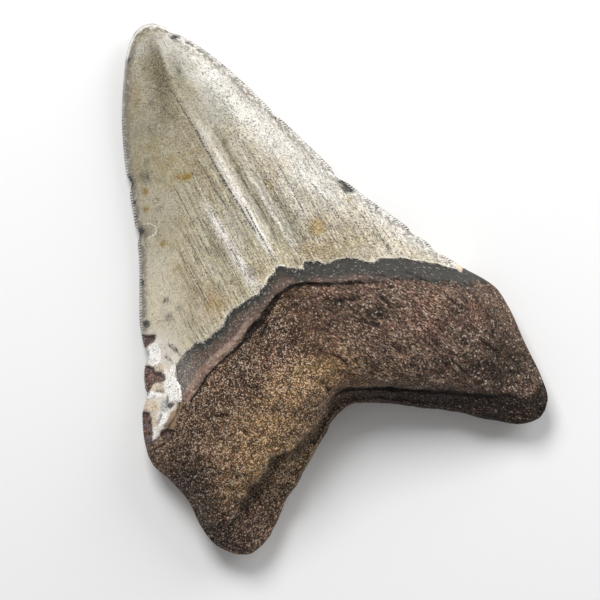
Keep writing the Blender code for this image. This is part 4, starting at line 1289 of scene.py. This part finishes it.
def root_colour(r, shared):
    """Sandy brown with dark pores and pale grains, over golden and reddish patches and a dark mark that is
    mostly painted shade, with some dark patches. Painted shade darkens the basal rim, the crease and the
    groove under the bourlette's lip, and the cracks are dark. The groove's share comes back too."""
    x, mottle, specks = (shared[key] for key in ("x", "mottle", "specks"))
    broad = r.scaled(r.minus(mottle, 0.5), 0.8, shared["clouds"])
    soot = r.mark("soot")
    cavity = r.mark("cavity")
    bone = r.painted("root_dark", [
        (r.step(broad, 0.34, 0.62), "root"),
        (r.times(r.mark("gold"), r.step(mottle, 0.25, 0.6, 0.3, 0.9)), "root_gold"),
        (r.step(x, -2.0, 12.0, 0.0, 0.7), "root_right"),
        (r.times(r.mark("red"), r.step(mottle, 0.35, 0.6, 0.3, 0.8)), "root_red"),
        (r.step(r.noise(shared["place"], 0.26, 4.0, 0.6), 0.55, 0.68, 0.0, 0.2), "root_red"),
        # Painted shade, with some dark patches: the root's dark mark lays on a dark brown.
        (r.times(soot, r.step(mottle, 0.7, 0.3, 0.5, 0.95)), "dark_and_shade_grey"),
        (r.step(cavity, -0.1, -0.9, 0.0, 0.6), "pore"),
        (r.step(cavity, 0.2, 1.1, 0.0, 0.2), "grain"),
    ])
    bone = r.mix(0.10, bone, shared["tint"], "SOFT_LIGHT")
    bone = r.mix(1.0, bone, specks, "MULTIPLY")
    bone = r.mix(r.step(specks, 1.8, 4.0, 0.0, r.step(x, *TO_THE_RIGHT, 0.75, 0.55)), bone, "grain")
    # Painted shade: the same dark mark darkens the root further.
    bone = r.mix(1.0, bone, r.scaled(soot, -0.32, 1.0), "MULTIPLY")

    # Painted shade: darker on the basal rim below the crease, in the crease's hollow on the left arm, in its
    # slit on the right arm and in the groove under the bourlette's lip.
    crease = r.mark("crease")
    share = r.mark("share")
    rim = r.times(r.step(crease, 0.5, -0.5), r.step(share, 0.3, 0.7, 0.5, 0.88))
    uneven = r.scaled(mottle, 4.0, r.plus(crease, -1.2))
    shaded = r.times(r.step(uneven, -1.9, -0.4), r.step(crease, 0.35, 0.0), r.step(share, 0.44, 0.34))
    slit_reach = r.times(r.step(share, 0.42, 0.5), r.step(share, 0.96, 0.86))
    slit = r.times(r.step(r.size(crease), 0.55, 0.1), slit_reach)
    width = r.maths("MINIMUM", r.step(share, 0.30, 0.38, 0.26, 0.62), r.step(share, 0.40, 0.48, 0.62, 0.22))
    groove = r.maths("SUBTRACT", 1.0, r.maths("DIVIDE", r.size(r.mark("groove")), width), clamp=True)
    groove_reach = r.times(r.step(share, 0.12, 0.18), r.step(share, 0.76, 0.70))
    groove = r.times(r.step(groove, 0.0, 0.7), groove_reach)
    bone = r.painted(bone, [
        (r.step(shared["grit"], 0.94, 0.99, 0.0, 0.7), "grain"),
        # Painted shade on the basal rim, in the crease's hollow and slit and in the groove; the cracks are
        # dark too.
        (
            r.times(rim, r.step(specks, 1.5, 2.9, 1.0, 0.4)),
            r.mix(r.step(specks, 0.3, 0.9), "soot", "pore"),
        ),
        (r.times(shaded, r.step(share, 0.03, 0.15, 0.0, 0.45)), "soot"),
        (r.times(r.largest(slit, groove, r.mark("seams")), 0.88), "soot"),
    ])
    return bone, groove


def corner_colour(r, base, is_enamel, shared):
    """The broken corner of the crown over the rest: a pale haze that fades into the enamel, patches of
    chalk, cream, tan and slate with dirt in them, and bare dentine in the recesses. Painted shade darkens a
    small hole and the edges of the recesses, and the corner's seams are partly cracks and partly painted
    shadow lines.
    The share of it that is matt comes back too."""
    mottle, fine = (shared[key] for key in ("mottle", "fine"))
    corner = r.mark("corner")
    ragged_by = r.scaled(fine, 1.2, r.scaled(mottle, 0.8, -1.0))
    haze = r.times(r.step(r.plus(corner, ragged_by), -3.2, 0.6), is_enamel)
    base = r.mix(r.times(haze, 0.85), base, "haze")
    matt = r.step(haze, 0.3, 0.9)
    shade = r.times(
        r.step(shared["sand"], 0.34, 0.60, 0.92, 1.18), r.step(shared["dust"], 0.03, 0.13, 0.25, 1.0)
    )
    for name in ("chalk", "cream", "tan", "slate"):
        here = r.times(r.step(r.plus(r.mark(name), ragged_by), -0.10, 0.12), 0.92)
        base = r.mix(here, base, r.mix(1.0, name, shade, "MULTIPLY"))
        matt = r.largest(matt, here)
    dirt = r.largest(r.times(r.step(fine, 0.43, 0.35), r.step(corner, -0.6, 0.6)), shared["cracks"])
    # The seams in the corner: partly cracks, partly painted shadow lines along folds and ledges.
    clefts = r.times(r.mark("seams"), r.step(corner, -1.6, -0.6), r.step(fine, 0.38, 0.52, 0.3, 0.9))
    bare = r.plus(r.mark("bare"), ragged_by)
    hollow = r.step(bare, -0.12, 0.12)
    dentine = r.painted("bare", [
        (r.step(mottle, 0.46, 0.60), "slate_dark"),
        (r.step(mottle, 0.44, 0.34), "pore"),
    ])
    base = r.painted(base, [
        (r.times(dirt, is_enamel, 0.7), "rim"),
        (clefts, "line"),
        (hollow, r.mix(0.55, dentine, shared["specks"], "MULTIPLY")),
        # Painted shade: the small hole is dark slate, and the edges of the recesses get a dark line.
        (r.step(r.mark("dark"), -0.15, 0.15, 0.0, 0.95), "slate_dark"),
        (r.times(r.step(r.size(bare), 0.28, 0.05), 0.6), "line"),
    ])
    return base, r.largest(matt, hollow)


def fossil_material(colours):
    """Enamel, bourlette and root in one material, parted by the marks that the mesh carries."""
    r = Recipe("fossil", colours)
    shared = shared_patterns(r)
    x, y, mottle, fine = (shared[key] for key in ("x", "y", "mottle", "fine"))
    enamel = clouded_enamel(r, shared)
    for layer in (streaked_enamel, spotted_enamel, worn_enamel):
        enamel = layer(r, enamel, shared)
    band, lip, edged = bourlette_colour(r, shared)
    bone, groove = root_colour(r, shared)

    frayed = r.plus(r.mark("enamel"), r.scaled(fine, 0.5, -0.25))
    is_enamel = r.step(frayed, -0.06, 0.06)
    # Pale spots along the enamel's ragged edge: partly chipped enamel, partly painted glints.
    broken = r.times(r.step(frayed, 0.8, 0.35), r.step(fine, 0.50, 0.56, 0.0, 1.0))
    enamel = r.mix(r.times(broken, r.step(x, 10.0, 4.0, 0.5, 1.0)), enamel, "chalk")
    is_root = r.largest(r.step(edged, 0.1, -0.3), r.step(r.mark("labial"), 0.4, 0.6))
    is_root = r.times(is_root, r.minus(1.0, lip))
    along = r.scaled(mottle, 3.0, r.plus(r.times(x, 0.714), r.times(y, 0.70)))
    is_root = r.largest(is_root, r.step(along, -33.1, -33.7))
    base = r.painted(band, [(r.largest(is_root, groove), bone), (is_enamel, enamel)])
    base, matt = corner_colour(r, base, is_enamel, shared)

    # Gloss: shiny enamel with a worn haze under a thin clear coat, satin bourlette, dry root.
    dents = r.largest(shared["cracks"], shared["pits"])
    glossy = r.times(is_enamel, r.minus(1.0, r.largest(r.largest(matt, r.mark("chips")), dents)))
    coat = r.times(r.step(r.mark("sheen"), 0.0, 1.0, 0.28, 1.0), r.step(fine, 0.70, 0.40, 0.6, 1.0))
    dull = r.step(r.plus(is_root, lip), 0.0, 1.0, 0.66, 0.88)

    # Relief too fine for the mesh.
    relief = r.scaled(shared["hairs"], 0.10, r.times(fine, 0.11))
    relief = r.scaled(r.noise(shared["place"], 6.5, 1.0), 0.03, relief)
    relief = r.scaled(dents, -0.07, relief)
    rough = r.scaled(shared["sand"], 0.26, r.times(shared["grit"], 0.10))
    rough = r.scaled(shared["dust"], 0.06, rough)
    rough = r.times(rough, r.step(is_root, 0.0, 1.0, 0.25, 1.0))
    height = r.times(r.blend(is_enamel, rough, relief), MM)
    bumped = r.add("ShaderNodeBump", {"Strength": 1.0, "Distance": 1.0, "Height": height})

    r.feed(r.shader.inputs["Base Color"], base)
    r.feed(r.shader.inputs["Coat Weight"], r.times(glossy, coat))
    r.feed(r.shader.inputs["Roughness"], r.blend(glossy, dull, r.step(mottle, 0.35, 0.7, 0.34, 0.44)))
    r.feed(r.shader.inputs["Normal"], bumped.outputs["Normal"])
    for socket, value in (("Metallic", 0.0), ("IOR", 1.5), ("Coat Roughness", 0.2), ("Coat IOR", 2.0)):
        r.shader.inputs[socket].default_value = value
    return r.material


# ---------------------------------------------------------------- properties


def length(name, description, default_mm):
    """A property for a length in millimetres."""
    return bpy.props.FloatProperty(
        name=name, description=description, default=default_mm, min=0.0, soft_max=50.0
    )


class FossilShape(bpy.types.PropertyGroup):
    """The tooth's driving heights, in millimetres."""

    root_top: length("Root top", "Height of the swelling in the middle of the root, in mm", 22.7)
    root_end_top: length("Lobe top", "What is left of the swelling far out in the lobes, in mm", 6.0)
    root_edge: length("Root edge", "Height of the root's rounded outline, in mm", 6.3)
    crown_edge: length("Crown edge", "Height of the cutting edges half way up, in mm", 2.2)
    tip_edge: length("Tip edge", "Height of the cutting edge at the tip, in mm", 4.2)
    root_round: length("Root rounding", "Radius of the root's edge, in mm", 9.5)
    crown_bulge: bpy.props.FloatProperty(
        name="Crown bulge", description="Slope of the lingual face at the cutting edges", default=1.0
    )
    enamel_step: length("Enamel step", "Thickness of the enamel's broken edge, in mm", 0.4)
    crease_drop: length("Crease drop", "From the root's face down to the basal rim, in mm", 2.8)


COLOURS = {  # name: label and display values
    "enamel": ("Enamel", (172, 164, 140)),
    # Partly painted light on the lower left of the crown.
    "enamel_low": ("Enamel, low on the left", (215, 203, 169)),
    "flank": ("Enamel, right flank", (163, 150, 121)),
    # Partly a painted highlight towards the lower right corner.
    "flank_low": ("Enamel, right corner", (216, 203, 176)),
    # Painted highlight on the right flank.
    "sheen": ("Enamel, painted sheen", (204, 200, 190)),
    # Partly a painted dark reflection in the middle of the tip.
    "tip": ("Enamel, tip", (98, 88, 58)),
    "olive": ("Enamel, olive cloud", (150, 140, 104)),
    "grey": ("Enamel, grey cloud", (175, 171, 162)),
    "stain": ("Enamel, brown stain", (150, 134, 104)),
    "streak": ("Enamel, dark streak", (122, 114, 98)),
    "pale": ("Enamel, pale streak", (226, 218, 201)),
    "ridge": ("Enamel, ridge", (244, 239, 232)),
    "furrow": ("Enamel, furrow", (116, 110, 90)),
    "crack": ("Enamel, hair crack", (84, 78, 64)),
    "ochre": ("Enamel, ochre spot", (142, 112, 28)),
    "yellow": ("Enamel, yellowish cloud", (162, 143, 92)),
    "green": ("Enamel, greenish cloud", (130, 129, 108)),
    "peach": ("Enamel, peach cloud", (184, 152, 116)),
    "rust": ("Enamel, rusty flake", (126, 108, 86)),
    "chip_warm": ("Flake, inside", (112, 98, 86)),
    "line": ("Crack and tick", (36, 30, 22)),
    # Dark chips on the rim, and painted shade along the outline.
    "rim": ("Rim, worn and shaded", (108, 108, 102)),
    # Painted shade on the left rim.
    "left_rim_shade": ("Rim on the left, painted shade", (112, 104, 84)),
    "bourlette": ("Bourlette", (56, 54, 50)),
    "bourlette_warm": ("Bourlette, brown", (91, 76, 68)),
    "bourlette_light": ("Bourlette, grain", (168, 160, 152)),
    "lip": ("Lip", (134, 106, 92)),
    "lip_pale": ("Lip, pale", (160, 138, 124)),
    "root": ("Root", (143, 112, 88)),
    "root_dark": ("Root, dark", (94, 70, 56)),
    # Painted shade, with some dark patches.
    "dark_and_shade_grey": ("Root, dark and shaded", (68, 54, 43)),
    "root_gold": ("Root, golden", (169, 136, 95)),
    "root_red": ("Root, reddish", (123, 88, 75)),
    "root_right": ("Root, right lobe", (97, 81, 71)),
    "grain": ("Root, light grain", (208, 194, 176)),
    "pore": ("Root, pore", (38, 29, 25)),
    # Painted shade in the crease, on the basal rim and in the groove; also the dark of the cracks.
    "soot": ("Root, groove", (14, 11, 10)),
    "haze": ("Corner, haze", (232, 224, 212)),
    "chalk": ("Corner, chalk", (252, 248, 243)),
    "cream": ("Corner, cream", (216, 198, 176)),
    "tan": ("Corner, tan", (158, 132, 108)),
    "slate": ("Corner, slate", (184, 186, 184)),
    "slate_dark": ("Corner, dark slate", (104, 96, 96)),
    "bare": ("Bare dentine", (116, 92, 82)),
    "chip": ("Chip in the edge", (54, 56, 54)),
}


class FossilColours(bpy.types.PropertyGroup):
    """The tooth's colours, as linear values."""

    __annotations__ = {
        key: bpy.props.FloatVectorProperty(
            name=label, description=f"Colour: {label.lower()}", subtype="COLOR", size=4, default=rgb(*shown)
        )
        for key, (label, shown) in COLOURS.items()
    }


class StudioSettings(bpy.types.PropertyGroup):
    """The camera, floor and lights."""

    turn: bpy.props.FloatProperty(
        name="Turn",
        description="How far the tooth leans in the picture",
        subtype="ANGLE",
        default=np.radians(27),
    )
    distance: bpy.props.FloatProperty(
        name="Distance", description="From the camera to the tooth", unit="LENGTH", default=0.8
    )
    field: bpy.props.FloatProperty(
        name="Field", description="Width of what the camera sees at the tooth", unit="LENGTH", default=0.132
    )
    floor: bpy.props.FloatVectorProperty(
        name="Floor", description="Colour of the floor", subtype="COLOR", size=4, default=rgb(246, 246, 246)
    )
    key: bpy.props.FloatProperty(name="Key", description="Power of the key light, in watts", default=1.5)
    fill: bpy.props.FloatProperty(
        name="Fill", description="Power of the overhead light, in watts", default=5.0
    )
    sky: bpy.props.FloatProperty(
        name="Sky", description="Strength of the light from all round", default=0.30
    )


# ---------------------------------------------------------------- operators

FLOOR_HALF = 1.5  # in metres
SENSOR = 36.0  # in mm
AIM = (2.55, -11.19, 5.0)  # in mm, what the camera and the lights point at
# The lights: name, direction as parts to the camera's right, up in its view and towards it, and the
# distance from AIM, the width and the height in metres.
LIGHTS = [
    ("key", (0.66, 0.60, 0.45), 0.55, 0.34, 0.40),
    ("fill", (-0.22, 0.64, 0.75), 0.80, 0.35, 0.35),
]


class FOSSIL_OT_tooth(bpy.types.Operator):
    """Make the tooth and its finish in place of the CAD solid"""

    bl_idname = "fossil.tooth"
    bl_label = "Tooth"

    def execute(self, context):
        points, polygons, marks = tooth_surface(context.scene.fossil_shape)
        mesh = mesh_of("megalodon_tooth", points, polygons)
        if len(mesh.vertices) != len(points):
            raise RuntimeError("the tooth's mesh lost vertices")
        add_marks(mesh, marks)
        colours = {key: tuple(getattr(context.scene.fossil_colours, key)) for key in COLOURS}
        mesh.materials.append(fossil_material(colours))
        tooth = bpy.data.objects.new("megalodon_tooth", mesh)
        context.scene.collection.objects.link(tooth)
        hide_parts("tooth")
        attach(tooth, "root")
        return {"FINISHED"}


class FOSSIL_OT_stage(bpy.types.Operator):
    """Lay the floor, hang the lights and set the camera straight above the tooth"""

    bl_idname = "fossil.stage"
    bl_label = "Studio"

    def execute(self, context):
        scene = context.scene
        studio = scene.studio
        mesh = bpy.data.meshes.new("floor")
        corners = [(x * FLOOR_HALF, y * FLOOR_HALF, 0) for x, y in ((-1, -1), (1, -1), (1, 1), (-1, 1))]
        mesh.from_pydata(corners, [], [(0, 1, 2, 3)])
        paint = Recipe("floor")
        paint.shader.inputs["Base Color"].default_value = studio.floor
        paint.shader.inputs["Roughness"].default_value = 0.9
        mesh.materials.append(paint.material)
        floor = bpy.data.objects.new("floor", mesh)
        scene.collection.objects.link(floor)

        right = Vector((np.cos(studio.turn), -np.sin(studio.turn), 0))
        up = Vector((np.sin(studio.turn), np.cos(studio.turn), 0))
        above = Vector((0, 0, 1))
        aim = Vector(AIM) * MM
        camera = bpy.data.objects.new("camera", bpy.data.cameras.new("camera"))
        camera.data.sensor_width = SENSOR
        camera.data.lens = SENSOR * studio.distance / studio.field
        camera.data.clip_start = 0.01
        camera.location = aim + above * studio.distance
        camera.rotation_euler = (0, 0, -studio.turn)
        scene.collection.objects.link(camera)
        scene.camera = camera

        for name, (rightwards, upwards, outwards), distance, width, height in LIGHTS:
            way = right * rightwards + up * upwards + above * outwards
            light = bpy.data.objects.new(name, bpy.data.lights.new(name, "AREA"))
            light.data.energy = getattr(studio, name)
            light.data.shape = "RECTANGLE"
            light.data.size = width
            light.data.size_y = height
            light.location = aim + way.normalized() * distance
            light.visible_glossy = name == "key"
            light.rotation_euler = (aim - light.location).to_track_quat("-Z", "Y").to_euler()
            scene.collection.objects.link(light)
        world = bpy.data.worlds.new("studio")
        world.use_nodes = True
        background = world.node_tree.nodes["Background"].inputs
        background["Strength"].default_value = studio.sky
        background["Color"].default_value = rgb(255, 255, 255)
        scene.world = world
        scene.view_settings.view_transform = "Standard"
        return {"FINISHED"}


class FOSSIL_PT_panel(bpy.types.Panel):
    """The add-on's panel in the sidebar"""

    bl_label = "Fossil Tooth"
    bl_idname = "FOSSIL_PT_panel"
    bl_space_type = "VIEW_3D"
    bl_region_type = "UI"
    bl_category = "Fossil"

    def draw(self, context):
        scene = context.scene
        for operator, settings in (("fossil.tooth", scene.fossil_shape), ("fossil.stage", scene.studio)):
            box = self.layout.box()
            for key in settings.__annotations__:
                box.prop(settings, key)
            box.operator(operator)
        box = self.layout.box()
        for key in COLOURS:
            box.prop(scene.fossil_colours, key)


CLASSES = (FossilShape, FossilColours, StudioSettings, FOSSIL_OT_tooth, FOSSIL_OT_stage, FOSSIL_PT_panel)
GROUPS = {"fossil_shape": FossilShape, "fossil_colours": FossilColours, "studio": StudioSettings}


def register():
    """Registers the classes and puts the settings on the scene."""
    for made in CLASSES:
        bpy.utils.register_class(made)
    for name, group in GROUPS.items():
        setattr(bpy.types.Scene, name, bpy.props.PointerProperty(type=group))


def unregister():
    """Takes away all that register put in place."""
    for name in GROUPS:
        delattr(bpy.types.Scene, name)
    for made in reversed(CLASSES):
        bpy.utils.unregister_class(made)


def main():
    """Builds the tooth and its studio."""
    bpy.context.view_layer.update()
    register()
    bpy.ops.fossil.tooth()
    bpy.ops.fossil.stage()


if __name__ == "__main__":
    main()
